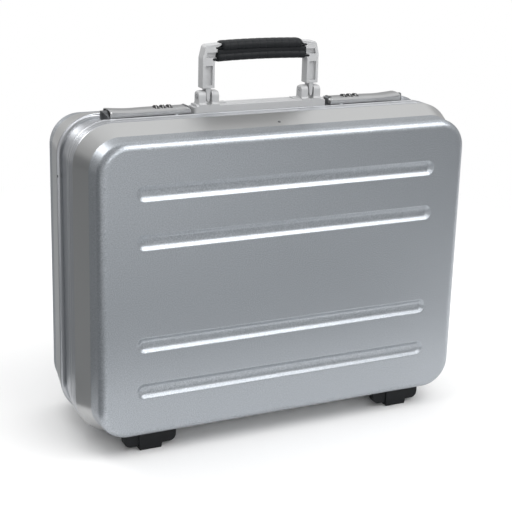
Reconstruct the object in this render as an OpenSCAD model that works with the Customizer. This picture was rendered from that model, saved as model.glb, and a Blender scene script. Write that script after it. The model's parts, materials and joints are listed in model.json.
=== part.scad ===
// Hard tool case: two pressed aluminium shells on extruded frames that close on each other,
// with two combination latches and a folding handle on the back half.
// X runs along the width, Y from front to back and Z up. The case stands on its feet at Z = 0.

/* [Case] */
// Outside width of the frames
case_w = 470; // [430:5:560]
// Outside height of the frames, without feet and handle
case_h = 354; // [330:2:420]
// Depth of the front half, from the parting line to its face
front_depth = 68; // [64:1:110]
// Depth of the back half, from the parting line to its face
back_depth = 110; // [104:1:150]
// Radius of the frame corners
corner_r = 45; // [42:1:60]
// Gap between the two frames when the case is shut
parting_gap = 0.4; // [0.3:0.05:0.6]

/* [Pressed shells] */
// Thickness of the aluminium sheet
sheet_t = 1.5; // [1.2:0.1:2]
// Depth of the smooth band next to the front frame
front_band = 25; // [20:0.5:28]
// How far the front band leans inwards over its depth
front_band_inset = 9.8; // [6:0.2:11]
// Depth of the smooth band next to the back frame
back_band = 44; // [36:0.5:48]
// How far the back band leans inwards over its depth
back_band_inset = 4.5; // [3:0.5:8]
// Draft of the wall between the crease and the face
wall_draft = 1.5; // [1:0.5:4]
// Radius of the soft crease between band and wall
crease_r = 6; // [4:0.5:8]
// Radius of the edge between wall and face
face_edge_r = 10; // [7:0.5:12]
// Seam between a shell and its frame
seam_gap = 0.3; // [0.2:0.05:0.5]

/* [Stiffening grooves] */
// Distance from the case side to the end of each groove
groove_margin = 54; // [50:1:90]
// Height of the inner pair of grooves over and under the middle
inner_groove_z = 58; // [45:1:70]
// Height of the outer pair of grooves over and under the middle
outer_groove_z = 111.5; // [95:0.5:116]
// Width of a groove at the face
groove_w = 18; // [12:1:22]
// Width of the floor of a groove
groove_floor_w = 5; // [3:0.5:8]
// Depth of a groove
groove_d = 3.5; // [2:0.25:4.5]

/* [Frames] */
// Width of the front frame between the parting line and its shell
front_frame_w = 15; // [14:0.5:18]
// Width of the back frame between the parting line and its shell
back_frame_w = 41.5; // [41:0.5:46]
// Width of the rim of the back frame beside the channel
rim_w = 8; // [7:0.5:9]
// Distance from the parting line to the middle of the channel floor
channel_offset = 26.5; // [26:0.5:28]
// Width of the lip of the back frame on the other side of the channel
lip_w = 1.5; // [1:0.25:3]
// Depth of the channel that carries latches and handle
channel_d = 4; // [3:0.25:5]
// Width of the flat floor of the channel
channel_floor_w = 22; // [22:0.5:24]
// Wall of the extruded frame under the channel
frame_wall = 2; // [1.6:0.1:2.6]
// Depth of the frame section next to the parting line
frame_section = 8; // [7.5:0.25:9]
// Length of the flange that holds a shell
flange_len = 12; // [8:0.5:14]
// Thickness of the closing tongue
tongue_t = 1.6; // [1.2:0.1:2]
// Reach of the closing tongue past the front frame
tongue_len = 3; // [2:0.25:3.5]
// Clearance round the closing tongue
tongue_clear = 0.8; // [0.7:0.05:1]
// Thickness of the rubber seal in the tongue groove
seal_t = 1.6; // [1:0.1:2]
// Depth of a decorative line on the front frame
ridge_d = 0.5; // [0.3:0.05:0.7]
// Number of decorative lines on the front frame
ridge_count = 3; // [2:1:4]

/* [Feet] */
// Drop of the feet below the frames
foot_drop = 13; // [10:0.5:18]
// Distance from the outside of the frames to the middle of each foot
foot_margin = 75; // [60:1:90]
// Width of the foot plate
foot_w = 62; // [50:1:70]
// Width of the block under the foot plate
foot_block_w = 27; // [20:1:36]
// Height of the block under the foot plate
foot_block_h = 5; // [4:0.5:8]
// How far the block stands proud of the front of the plate
foot_block_proud = 2; // [1:0.5:3]
// Depth of a foot from front to back
foot_d = 11; // [10:0.5:14]
// Radius of the lower ends of the foot plate
foot_r = 8; // [4:0.5:10]
// Radius of a foot screw
screw_r = 1.5; // [1.25:0.25:1.75]

/* [Lid hinges] */
// Distance from the middle of the case to each hinge
hinge_x = 80; // [60:1:95]
// Length of a hinge
hinge_len = 56; // [40:1:60]
// Number of knuckles of a hinge
knuckle_count = 5; // [3:2:7]
// Radius of a knuckle
knuckle_r = 3; // [2.8:0.1:3.2]
// Radius of the hinge pin
hinge_pin_r = 1.5; // [1.2:0.1:1.6]
// Thickness of a hinge leaf
leaf_t = 1.3; // [1:0.1:1.6]
// Clearance between the frames and a knuckle
knuckle_clear = 0.5; // [0.4:0.1:0.8]

/* [Lid stays] */
// Opening angle that the stays allow
lid_angle = 90; // [80:1:95]
// Distance from the hinge axis to both ends of a shut stay
stay_r = 58; // [57:0.5:60]
// Distance from the parting line to the stay pivot on the front frame
stay_pivot_y = 7; // [6:0.5:9]
// Distance from the parting line to the stay stud on the back frame
stay_stud_y = 28; // [24:0.5:29]
// Distance from the outside of the frames to a stay arm
stay_inset = 18; // [17:0.5:19]
// Thickness of a stay arm
stay_t = 2; // [1.5:0.25:2.5]
// Width of a stay arm
stay_w = 12; // [11:0.5:14]
// Radius of the stay studs
stay_stud_r = 2.5; // [2:0.25:3]

/* [Handle] */
// Width of the handle over its legs
handle_w = 144; // [130:1:150]
// Height of the handle pivot over the frames
pivot_h = 15.5; // [15:0.5:18]
// Height of the top of the grip over the pivot
handle_rise = 63.6; // [58:0.2:70]
// Width of a leg
leg_w = 15.5; // [14:0.5:16]
// Depth of a leg from front to back
leg_d = 13.5; // [13:0.5:15]
// Height of the lower end of a leg over the pivot
leg_lift = 10; // [10:0.25:12]
// Radius of the outer bends of the handle
bend_r = 10; // [8:1:16]
// Height of the grip
grip_h = 23; // [22:0.5:25]
// Depth of the grip from front to back
grip_d = 21; // [20:0.5:23]
// Rise of the grip's arch at its middle
grip_arch = 2.5; // [1.5:0.25:3]
// Number of pads along the grip
pad_count = 9; // [6:1:11]
// Depth of the gaps between pads
pad_d = 0.7; // [0.5:0.1:1]
// Thickness of the tongue of a leg
leg_tongue_t = 6.7; // [6:0.1:7]
// Radius of a handle pin
handle_pin_r = 2; // [1.8:0.1:2.4]

/* [Handle base] */
// Half of the length of the handle base
base_half = 83; // [80:0.5:84]
// Depth of the handle base from front to back
base_d = 18; // [17:0.5:19]
// Height of the base bar over the frames
bar_h = 6.7; // [6:0.1:7.5]
// Thickness of an ear of the handle base
ear_t = 8.5; // [7:0.25:9]
// Radius of the top of an ear
ear_r = 6.5; // [6:0.25:7]

/* [Latches] */
// Distance from the end of the handle base to the pivot of a latch
latch_gap_x = 8; // [8:0.5:10]
// Distance from the pivot of a latch to its free end
latch_len = 91.5; // [86:0.5:92]
// Width of a latch from front to back
latch_w = 25; // [24.5:0.5:26]
// Height of the flat top of a latch over the frames
latch_h = 8.2; // [8:0.1:9]
// Height of the flared end of a latch over the frames
latch_flare_h = 9.8; // [9.4:0.2:11]
// Length of the flare at the free end of a latch
flare_len = 24; // [18:1:30]
// Wall of the latch cover
latch_wall = 1.4; // [1.2:0.1:1.6]
// Radius of the latch pin
latch_pin_r = 1.4; // [1.2:0.1:1.5]
// Height of the latch pivot over the frames
latch_pivot_h = 3.6; // [3.5:0.1:3.8]
// Distance from the latch pivot to the middle dial
dial_x = 27.2; // [26:0.4:34]
// Distance between neighbouring dials
dial_pitch = 7.8; // [7.6:0.1:8.4]
// Thickness of a dial
dial_t = 5; // [4.6:0.1:5.2]
// Radius of a dial
dial_r = 5.3; // [5:0.1:5.4]
// How far a dial stands over the latch
dial_proud = 1; // [0.8:0.1:1.2]
// Radius of the dial shaft
dial_shaft_r = 1.5; // [1.2:0.1:1.8]

/* [Fits] */
// Radial clearance of a running pin or shaft
running_fit = 0.05; // [0.02:0.01:0.08]
// Radial clearance of a fixed pin
fixed_fit = 0.02; // [0.01:0.01:0.03]
// Side clearance between parts that turn past each other
side_fit = 0.4; // [0.3:0.05:0.5]

/* [Hidden] */
$fn = 64;
eps = 0.01;
arc_steps = 6;
arch_fn = 720;

parting_y = (front_depth - back_depth) / 2;
mid_z = foot_drop + case_h / 2;
top_z = foot_drop + case_h;
core_w = case_w / 2 - corner_r;
core_h = case_h / 2 - corner_r;
face_inset = corner_r - 12;
sheet_overlap = 1;

ALUMINIUM = [0.72, 0.74, 0.76];
FRAME_GREY = [0.80, 0.81, 0.83];
PLASTIC_GREY = [0.79, 0.80, 0.81];
LATCH_GREY = [0.70, 0.71, 0.73];
STEEL = [0.62, 0.63, 0.65];
BLACK = [0.10, 0.11, 0.12];

// ---------- Paths and sections ----------

function unit(v) = v / norm(v);
function short_turn(a) = a > 180 ? a - 360 : a < -180 ? a + 360 : a;

// Arc that rounds the corner p between its neighbours a and b
function corner_arc(a, p, b, r) =
    let (u = unit(a - p),
         v = unit(b - p),
         half = acos(u * v) / 2,
         c = p + unit(u + v) * r / sin(half),
         from = p + u * r / tan(half) - c,
         to = p + v * r / tan(half) - c,
         start = atan2(from[1], from[0]),
         turn = short_turn(atan2(to[1], to[0]) - start))
    [for (k = [0:arc_steps]) c + r * [cos(start + turn * k / arc_steps), sin(start + turn * k / arc_steps)]];

// Path through four points with its two inner corners rounded
function soft_path(p, r1, r2) = concat(
    [p[0]],
    corner_arc(p[0], p[1], p[2], r1),
    corner_arc(p[1], p[2], p[3], r2),
    [p[3]]);

function inward(a, b) = [b[1] - a[1], a[0] - b[0]] / norm(b - a);
function shifted(a, p, b, d) =
    let (m = inward(a, p), n = inward(p, b)) p + (m + n) * d / (1 + m * n);

function reversed(p) = [for (k = [len(p) - 1:-1:0]) p[k]];

// Outer line of a pressed shell: inset from the case outline against depth from the parting line
function shell_line(seam, band, band_inset, depth) = [
    [0, seam],
    [band_inset, seam + band],
    [band_inset + wall_draft, depth],
    [face_inset + sheet_overlap, depth]];

// Section of the sheet along that line
function sheet_section(p) =
    let (lean = atan2(p[1][0] - p[0][0], p[1][1] - p[0][1]),
         q = [[sheet_t / cos(lean), p[0][1]],
              shifted(p[0], p[1], p[2], sheet_t),
              shifted(p[1], p[2], p[3], sheet_t),
              p[3] + [0, -sheet_t]])
    concat(soft_path(p, crease_r, face_edge_r),
           reversed(soft_path(q, crease_r + sheet_t, face_edge_r - sheet_t)));

// Inset of the outside of a shell at a given depth
function surface_inset(p, depth) =
    depth < p[1][1]
        ? p[0][0] + (depth - p[0][1]) * (p[1][0] - p[0][0]) / (p[1][1] - p[0][1])
        : p[1][0] + (depth - p[1][1]) * (p[2][0] - p[1][0]) / (p[2][1] - p[1][1]);

front_line = shell_line(front_frame_w, front_band, front_band_inset, front_depth);
back_line = shell_line(back_frame_w, back_band, back_band_inset, back_depth);

// Stands a flat layout up, so that its height becomes depth from the parting line
module front_half() {
    translate([0, parting_y, mid_z]) rotate([90, 0, 0]) children();
}

module back_half() {
    translate([0, parting_y, mid_z]) mirror([0, 1, 0]) rotate([90, 0, 0]) children();
}

// Sweeps a section of inset and depth round the case outline
module outline_sweep() {
    for (k = [0:3]) {
        reach = k % 2 == 0 ? core_w : core_h;
        side = k % 2 == 0 ? core_h : core_w;
        rotate(90 * k) {
            translate([reach, side, 0])
                rotate([90, 0, 0])
                    linear_extrude(2 * side)
                        translate([corner_r, 0]) mirror([1, 0]) children();
            translate([reach, side, 0])
                rotate_extrude(angle = 90)
                    translate([corner_r, 0]) mirror([1, 0]) children();
        }
    }
}

// Flat sheet that closes the middle of a shell
module face_sheet(depth) {
    face_r = corner_r - face_inset;
    translate([0, 0, depth - sheet_t])
        linear_extrude(sheet_t) {
            square([2 * (core_w + face_r), 2 * core_h], center = true);
            square([2 * core_w, 2 * (core_h + face_r)], center = true);
            for (x = [-core_w, core_w], y = [-core_h, core_h])
                translate([x, y]) circle(face_r);
        }
}

// Trough with round ends, its floor at the given depth
module trough(length, floor_w, top_w, floor_z, top_z) {
    section = [[0, floor_z], [floor_w / 2, floor_z], [top_w / 2, top_z], [0, top_z]];
    straight = length - top_w;
    rotate([90, 0, 90])
        translate([0, 0, -straight / 2])
            linear_extrude(straight) {
                polygon(section);
                mirror([1, 0]) polygon(section);
            }
    for (side = [0, 1])
        mirror([side, 0, 0])
            translate([straight / 2, 0, 0])
                rotate(-90) rotate_extrude(angle = 180) polygon(section);
}

groove_rows = [-outer_groove_z, -inner_groove_z, inner_groove_z, outer_groove_z];
groove_len = case_w - 2 * groove_margin;
groove_slope = (groove_w - groove_floor_w) / groove_d;

module pressed_shell(line, depth) {
    difference() {
        union() {
            outline_sweep() polygon(sheet_section(line));
            face_sheet(depth);
            for (y = groove_rows)
                translate([0, y, 0])
                    trough(groove_len + 2 * sheet_t, groove_floor_w + sheet_t,
                           groove_w + 2 * sheet_t, depth - groove_d - sheet_t, depth - sheet_t / 2);
        }
        for (y = groove_rows)
            translate([0, y, 0])
                trough(groove_len + groove_slope, groove_floor_w, groove_w + groove_slope,
                       depth - groove_d, depth + 1);
    }
}

// Vertical hole for a foot screw through the bottom of a shell
module foot_screw_holes(depth) {
    for (x = [-foot_x, foot_x])
        translate([x, -case_h / 2, depth])
            rotate([-90, 0, 0]) cylinder(h = corner_r, r = screw_r + fixed_fit, center = true);
}

// ---------- Shells ----------

foot_x = case_w / 2 - foot_margin;
front_foot_depth = front_frame_w + front_band + foot_d / 2 + 1;
back_foot_depth = back_frame_w + back_band / 2 + 2;

module front_shell() {
    color(ALUMINIUM)
        front_half()
            difference() {
                pressed_shell(front_line, front_depth);
                foot_screw_holes(front_foot_depth);
            }
}

module back_shell() {
    color(ALUMINIUM)
        back_half()
            difference() {
                pressed_shell(back_line, back_depth);
                foot_screw_holes(back_foot_depth);
            }
}

// ---------- Frames ----------

face_gap = parting_gap / 2;
tongue_in = 3;
tongue_groove_d = tongue_len + seal_t + 0.4;

// Flange that lies behind the sheet of a shell, as points that follow the band
function flange(line, w) =
    let (lean = atan2(line[1][0] - line[0][0], line[1][1] - line[0][1]),
         start = sheet_t / cos(lean) + fixed_fit,
         run = flange_len * tan(lean))
    [[start, w - seam_gap],
     [start + run, w + flange_len],
     [start + run + frame_wall, w + flange_len],
     [start + frame_wall, w - seam_gap / 2]];

// Points of the decorative lines cut along the front frame
function ridge_points(w) =
    let (pitch = (w - 4) / ridge_count)
    [for (k = [0:ridge_count - 1], j = [-1:1])
        [j == 0 ? ridge_d : 0, 2 + pitch * (k + 0.5) + j * ridge_d]];

module front_frame_section() {
    polygon(concat(
        [[0, face_gap]],
        ridge_points(front_frame_w),
        [[0, front_frame_w - seam_gap]],
        flange(front_line, front_frame_w),
        [[frame_section - 1.5, front_frame_w - 3.5],
         [frame_section - 1.5, face_gap],
         [tongue_in + tongue_t, face_gap],
         [tongue_in + tongue_t, -tongue_len],
         [tongue_in, -tongue_len],
         [tongue_in, face_gap]]));
}

channel_start = rim_w;
channel_end = back_frame_w - lip_w;
channel_mid = channel_offset;
floor_start = channel_mid - channel_floor_w / 2;
floor_end = channel_mid + channel_floor_w / 2;

// Concave side of the channel as an arc from the rim down to the floor
function channel_side(from, to) =
    let (run = to - from)
    [for (k = [0:arc_steps]) let (a = 90 * k / arc_steps)
        [1 + (channel_d - 1) * sin(a), from + run * (1 - cos(a))]];

module back_frame_section() {
    polygon(concat(
        [[0, face_gap], [0, channel_start]],
        channel_side(channel_start, floor_start),
        reversed(channel_side(channel_end, floor_end)),
        [[0, channel_end], [0, back_frame_w - seam_gap]],
        flange(back_line, back_frame_w),
        [[channel_d + frame_wall, floor_end - 1],
         [channel_d + frame_wall, floor_start + 1],
         [frame_section, floor_start - 1],
         [frame_section, face_gap],
         [tongue_in + tongue_t + tongue_clear, face_gap],
         [tongue_in + tongue_t + tongue_clear, tongue_groove_d],
         [tongue_in - tongue_clear, tongue_groove_d],
         [tongue_in - tongue_clear, face_gap]]));
}

module front_frame() {
    color(FRAME_GREY) front_half() outline_sweep() front_frame_section();
}

// The floor of the channel is cut through where the latch hooks reach the catches
module back_frame() {
    color(FRAME_GREY)
        difference() {
            back_half() outline_sweep() back_frame_section();
            for (side = [0, 1])
                mirror([side, 0, 0]) hook_window();
        }
}

module frame_seal() {
    seal_fit = 0.1;
    color(BLACK)
        back_half() outline_sweep()
            translate([tongue_in - tongue_clear + seal_fit, tongue_groove_d - seal_t])
                square([tongue_t + 2 * tongue_clear - 2 * seal_fit, seal_t]);
}

// ---------- Feet ----------

// Front outline of a foot plate, with round lower ends
module plate_outline() {
    translate([-foot_w / 2 + foot_r, foot_block_h]) square([foot_w - 2 * foot_r, corner_r]);
    translate([-foot_w / 2, foot_block_h + foot_r]) square([foot_w, corner_r - foot_r]);
    for (x = [-1, 1])
        translate([x * (foot_w / 2 - foot_r), foot_block_h + foot_r]) circle(foot_r);
}

// Front outline of the block that reaches down to the floor, a little narrower at its foot
module block_outline() {
    taper = 1;
    translate([-foot_block_w / 2, foot_block_h]) square([foot_block_w, corner_r]);
    polygon([[-foot_block_w / 2, foot_block_h + eps], [-foot_block_w / 2 + taper, 0],
             [foot_block_w / 2 - taper, 0], [foot_block_w / 2, foot_block_h + eps]]);
}

// A foot under a shell, its top cut to the slope of the shell above it
module foot(line, depth) {
    near = depth - foot_d / 2;
    far = depth + foot_d / 2;
    chamfer = 0.8;
    difference() {
        intersection() {
            union() {
                rotate([90, 0, 0])
                    translate([0, 0, near]) linear_extrude(foot_d - foot_block_proud) plate_outline();
                rotate([90, 0, 0]) translate([0, 0, near]) linear_extrude(foot_d) block_outline();
            }
            rotate([90, 0, -90])
                translate([0, 0, -foot_w])
                    linear_extrude(2 * foot_w)
                        polygon([[near, foot_drop + surface_inset(line, near)],
                                 [near, chamfer], [near + chamfer, 0],
                                 [far - chamfer, 0], [far, chamfer],
                                 [far, foot_drop + surface_inset(line, far)]]);
        }
        translate([0, -depth, -eps]) cylinder(h = corner_r, r = screw_r + fixed_fit);
        translate([0, -depth, -eps]) cylinder(h = screw_head_seat + eps, r = 2 * screw_r + side_fit);
    }
}

screw_head_seat = 3;
screw_head_h = 1.5;

module foot_screws(line, depth) {
    for (x = [-foot_x, foot_x])
        translate([x, -depth, screw_head_seat - screw_head_h]) {
            difference() {
                cylinder(h = screw_head_h, r = 2 * screw_r);
                translate([0, 0, -eps]) cylinder(h = screw_head_h / 2, r = screw_r, $fn = 6);
            }
            cylinder(h = foot_drop + surface_inset(line, depth) + 2 * sheet_t
                         - screw_head_seat + screw_head_h, r = screw_r);
        }
}

module at_parting() {
    translate([0, parting_y, 0]) children();
}

module front_foot(side) {
    color(BLACK) at_parting() translate([side * foot_x, 0, 0]) foot(front_line, front_foot_depth);
}

module back_foot(side) {
    color(BLACK)
        at_parting() mirror([0, 1, 0])
            translate([side * foot_x, 0, 0]) foot(back_line, back_foot_depth);
}

module front_foot_screws() {
    color(STEEL) at_parting() foot_screws(front_line, front_foot_depth);
}

module back_foot_screws() {
    color(STEEL) at_parting() mirror([0, 1, 0]) foot_screws(back_line, back_foot_depth);
}

// ---------- Lid hinges ----------

hinge_z = foot_drop - knuckle_clear - knuckle_r;
knuckle_len = hinge_len / knuckle_count;
leaf_clear = knuckle_r + side_fit;

// One hinge leaf that reaches from the knuckles along +Y, with the knuckles of its own parity
module hinge_leaf(parity, reach) {
    difference() {
        union() {
            translate([-hinge_len / 2, leaf_clear, foot_drop - leaf_t])
                cube([hinge_len, reach - leaf_clear, leaf_t]);
            for (k = [parity:2:knuckle_count - 1])
                translate([-hinge_len / 2 + k * knuckle_len + side_fit / 2, 0, 0]) {
                    translate([0, 0, hinge_z])
                        rotate([0, 90, 0]) cylinder(h = knuckle_len - side_fit, r = knuckle_r);
                    translate([0, 0, foot_drop - leaf_t - knuckle_clear])
                        cube([knuckle_len - side_fit, leaf_clear + 1, leaf_t]);
                }
        }
        translate([-hinge_len, 0, hinge_z])
            rotate([0, 90, 0]) cylinder(h = 2 * hinge_len, r = hinge_pin_r + running_fit);
    }
}

module front_leaf(side) {
    color(STEEL)
        at_parting() translate([side * hinge_x, 0, 0]) mirror([0, 1, 0])
            hinge_leaf(1, front_frame_w - 1);
}

module back_leaf(side) {
    color(STEEL)
        at_parting() translate([side * hinge_x, 0, 0]) hinge_leaf(0, back_frame_w - seam_gap);
}

module hinge_pin(side) {
    color(STEEL)
        at_parting() translate([side * hinge_x - hinge_len / 2, 0, hinge_z])
            rotate([0, 90, 0]) cylinder(h = hinge_len, r = hinge_pin_r);
}

// ---------- Handle ----------

channel_y = parting_y + channel_mid;
floor_z = top_z - channel_d;
pivot_z = top_z + pivot_h;
leg_x = handle_w / 2 - leg_w / 2;
slot_w = leg_tongue_t + 2 * side_fit;
ear_span = slot_w + 2 * ear_t;
slot_floor_z = pivot_z - ear_r - 3.5;

module at_channel() {
    translate([0, channel_y, 0]) children();
}

// Side outline of an ear: round top over a foot that widens into the bar
module ear_outline() {
    translate([0, pivot_z]) circle(ear_r);
    translate([-ear_r, floor_z]) square([2 * ear_r, pivot_z - floor_z]);
    difference() {
        translate([-base_d / 2, floor_z]) square([base_d, bar_h + channel_d + base_d / 2 - ear_r]);
        for (y = [-base_d / 2, base_d / 2])
            translate([y, top_z + bar_h + base_d / 2 - ear_r]) circle(base_d / 2 - ear_r);
    }
}

// Front outline of the pair of ears, with round shoulders
module clevis_outline() {
    shoulder_r = 3.5;
    ear_top = pivot_z + ear_r;
    translate([-ear_span / 2, floor_z]) square([ear_span, ear_top - shoulder_r - floor_z]);
    translate([-ear_span / 2 + shoulder_r, floor_z])
        square([ear_span - 2 * shoulder_r, ear_top - floor_z]);
    for (x = [-1, 1])
        translate([x * (ear_span / 2 - shoulder_r), ear_top - shoulder_r]) circle(shoulder_r);
}

module clevis_slot() {
    translate([-slot_w / 2, slot_floor_z + slot_w / 2])
        square([slot_w, pivot_z + 2 * ear_r - slot_floor_z]);
    translate([0, slot_floor_z + slot_w / 2]) circle(slot_w / 2);
}

module clevis() {
    intersection() {
        translate([-ear_span, 0, 0]) rotate([90, 0, 90]) linear_extrude(2 * ear_span) ear_outline();
        rotate([90, 0, 0]) linear_extrude(2 * base_d, center = true) clevis_outline();
    }
}

// Bar section: flat sides with a chamfered top edge
module bar_outline() {
    chamfer = 1.5;
    polygon([[-base_d / 2, floor_z], [base_d / 2, floor_z],
             [base_d / 2, top_z + bar_h - chamfer], [base_d / 2 - chamfer, top_z + bar_h],
             [-base_d / 2 + chamfer, top_z + bar_h], [-base_d / 2, top_z + bar_h - chamfer]]);
}

module handle_base() {
    pad_len = 10;
    pad_h = 1.2;
    boss_r = 3;
    boss_drop = 2.5;
    color(PLASTIC_GREY)
        at_channel()
            difference() {
                union() {
                    translate([-base_half + boss_r, 0, 0])
                        rotate([90, 0, 90])
                            linear_extrude(2 * (base_half - boss_r)) bar_outline();
                    for (side = [0, 1])
                        mirror([side, 0, 0]) {
                            translate([leg_x, 0, 0]) clevis();
                            translate([leg_x - ear_span / 2 - pad_len, -base_d / 4, top_z + bar_h - eps])
                                cube([pad_len + 1, base_d / 2, pad_h + eps]);
                            for (y = [-base_d / 2 + boss_r, base_d / 2 - boss_r])
                                translate([base_half - boss_r, y, floor_z])
                                    cylinder(h = channel_d + bar_h - boss_drop, r = boss_r);
                            translate([base_half - boss_r, -base_d / 2 + boss_r, floor_z])
                                cube([boss_r, base_d - 2 * boss_r, channel_d + bar_h - boss_drop]);
                        }
                }
                for (side = [0, 1])
                    mirror([side, 0, 0])
                        translate([leg_x - ear_span, 0, pivot_z])
                            rotate([0, 90, 0])
                                cylinder(h = 2 * ear_span, r = handle_pin_r + fixed_fit);
                for (side = [0, 1])
                    mirror([side, 0, 0])
                        translate([leg_x, 0, 0])
                            rotate([90, 0, 0]) linear_extrude(2 * base_d, center = true) clevis_slot();
            }
}

module handle_pin(side) {
    head_r = handle_pin_r + 0.8;
    head_h = 0.8;
    color(STEEL)
        at_channel()
            translate([side * leg_x, 0, pivot_z])
                mirror([side < 0 ? 1 : 0, 0, 0])
                    rotate([0, 90, 0]) {
                        cylinder(h = ear_span, r = handle_pin_r, center = true);
                        translate([0, 0, ear_span / 2]) cylinder(h = head_h, r = head_r);
                    }
}

grip_half = handle_w / 2 - leg_w;
grip_top_z = pivot_z + handle_rise;
grip_mid_z = grip_top_z - grip_h / 2 - grip_arch;
frame_top_z = grip_top_z - grip_arch - 2;
leg_bottom_z = pivot_z + leg_lift;
inner_top_z = grip_mid_z - grip_h / 2 + 0.5;
core_bar_h = 11;
core_bar_d = 9;
arch_r = (grip_half * grip_half + grip_arch * grip_arch) / (2 * grip_arch);

// Front outline of the U-shaped handle, with round bends outside and inside
module handle_outline() {
    inner_r = 5;
    difference() {
        union() {
            translate([-handle_w / 2, leg_bottom_z])
                square([handle_w, frame_top_z - bend_r - leg_bottom_z]);
            translate([-handle_w / 2 + bend_r, leg_bottom_z])
                square([handle_w - 2 * bend_r, frame_top_z - leg_bottom_z]);
            for (x = [-1, 1])
                translate([x * (handle_w / 2 - bend_r), frame_top_z - bend_r]) circle(bend_r);
        }
        translate([-grip_half, leg_bottom_z - 1])
            square([2 * grip_half, inner_top_z - inner_r - leg_bottom_z + 1]);
        translate([-grip_half + inner_r, leg_bottom_z - 1])
            square([2 * (grip_half - inner_r), inner_top_z - leg_bottom_z + 1]);
        for (x = [-1, 1])
            translate([x * (grip_half - inner_r), inner_top_z - inner_r]) circle(inner_r);
    }
}

// Recessed panels on the front and back of a leg and of its bend
module leg_panels() {
    panel_d = 1.6;
    panel_w = leg_w - 8;
    panel_top = inner_top_z - 3;
    for (y = [0, 1])
        mirror([0, y, 0])
            translate([leg_x - panel_w / 2, -leg_d / 2 - eps, 0]) {
                translate([0, 0, leg_bottom_z + 3.5])
                    cube([panel_w, panel_d + eps, panel_top - leg_bottom_z - 3.5]);
                translate([-4, 0, inner_top_z + 4])
                    cube([panel_w + 2, panel_d + eps, frame_top_z - inner_top_z - 12]);
            }
}

// Tongue that carries a leg on its pin
module leg_tongue() {
    tongue_r = ear_r - 1;
    translate([leg_x - leg_tongue_t / 2, 0, 0])
        rotate([90, 0, 90])
            linear_extrude(leg_tongue_t) {
                translate([0, pivot_z]) circle(tongue_r);
                translate([-tongue_r, pivot_z]) square([2 * tongue_r, leg_lift + 1]);
            }
}

module handle_frame() {
    shoulder = 3;
    grip_seat = 2.5;
    seat_drop = 1;
    color(PLASTIC_GREY)
        at_channel()
            difference() {
                union() {
                    difference() {
                        rotate([90, 0, 0])
                            linear_extrude(leg_d, center = true) handle_outline();
                        translate([-grip_half - grip_seat, -leg_d, grip_mid_z - grip_h / 2 - seat_drop])
                            cube([2 * (grip_half + grip_seat), 2 * leg_d, 3 * grip_h]);
                    }
                    translate([-grip_half - grip_seat - 1, -core_bar_d / 2, grip_mid_z - core_bar_h / 2])
                        cube([2 * (grip_half + grip_seat + 1), core_bar_d, core_bar_h]);
                    for (side = [0, 1])
                        mirror([side, 0, 0]) leg_tongue();
                }
                for (side = [0, 1])
                    mirror([side, 0, 0]) {
                        leg_panels();
                        translate([leg_x - leg_w, 0, pivot_z])
                            rotate([0, 90, 0]) cylinder(h = 2 * leg_w, r = handle_pin_r + running_fit);
                        translate([handle_w / 2, 0, leg_bottom_z])
                            rotate([0, 45, 0]) cube([shoulder, 2 * leg_d, shoulder], center = true);
                    }
            }
}

// Section of the grip: an upper and a lower pad joined by a narrower waist
module grip_section(shrink) {
    pad_r = grip_h / 4 - 0.5;
    waist_d = grip_d - 5;
    for (z = [-1, 1])
        translate([z * (grip_h / 2 - pad_r), 0]) {
            square([2 * (pad_r - shrink), grip_d - 2 * pad_r], center = true);
            for (y = [-1, 1])
                translate([0, y * (grip_d / 2 - pad_r)]) circle(pad_r - shrink);
        }
    square([grip_h - 2 * pad_r, waist_d], center = true);
}

module arch_sweep(from, to) {
    translate([0, 0, grip_top_z - grip_h / 2 - arch_r])
        rotate([90, 0, 0])
            rotate(90 + from)
                rotate_extrude(angle = to - from, $fn = arch_fn)
                    translate([arch_r, 0]) children();
}

module handle_grip() {
    end_angle = asin((grip_half + 2) / (arch_r + grip_h / 2));
    pad_angle = 2 * end_angle / pad_count;
    pad_gap = pad_angle * 0.09;
    core_fit = 0.05;
    color(BLACK)
        at_channel()
            difference() {
                union() {
                    arch_sweep(-end_angle, end_angle) grip_section(pad_d);
                    for (k = [0:pad_count - 1])
                        arch_sweep(-end_angle + k * pad_angle + pad_gap,
                                   -end_angle + (k + 1) * pad_angle - pad_gap) grip_section(0);
                }
                translate([0, 0, grip_mid_z])
                    cube([3 * grip_half, core_bar_d + 2 * core_fit, core_bar_h + 2 * core_fit],
                         center = true);
            }
}

// ---------- Latches, drawn for the right side ----------

latch_gap = 0.5;
latch_pivot_x = base_half + latch_gap_x;
latch_end_x = latch_pivot_x + latch_len;
latch_base_z = top_z + latch_gap;
latch_side_h = 5;
latch_apex = latch_flare_h + 0.6;
latch_pivot_z = top_z + latch_pivot_h;
latch_end_r = latch_h - latch_pivot_h;
lug_r = 3.2;
lug_w = 10;
dial_z = top_z + latch_h + dial_proud - dial_r;
dial_mid_x = latch_pivot_x + dial_x;
rib_t = dial_pitch - dial_t - 2 * side_fit;
shaft_half = 1.5 * dial_pitch + rib_t / 2;
base_plate_t = 1.5;
stop_reach = 7;
stop_clear = 1.3;
base_plate_w = channel_floor_w - 1;
hook_y = -7.5;
hook_w = 4;
hook_t = 3;
hook_x = dial_mid_x - shaft_half - hook_t;
catch_end_x = hook_x - 2;
catch_bottom = top_z - frame_section - 2.5;
catch_t = 1.5;
nose_top = catch_bottom - 1.8;
nose_t = 2;
nose_len = 7;
hook_swing_r = norm([hook_x + hook_t - latch_pivot_x, latch_pivot_z - nose_top + nose_t]);

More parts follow.
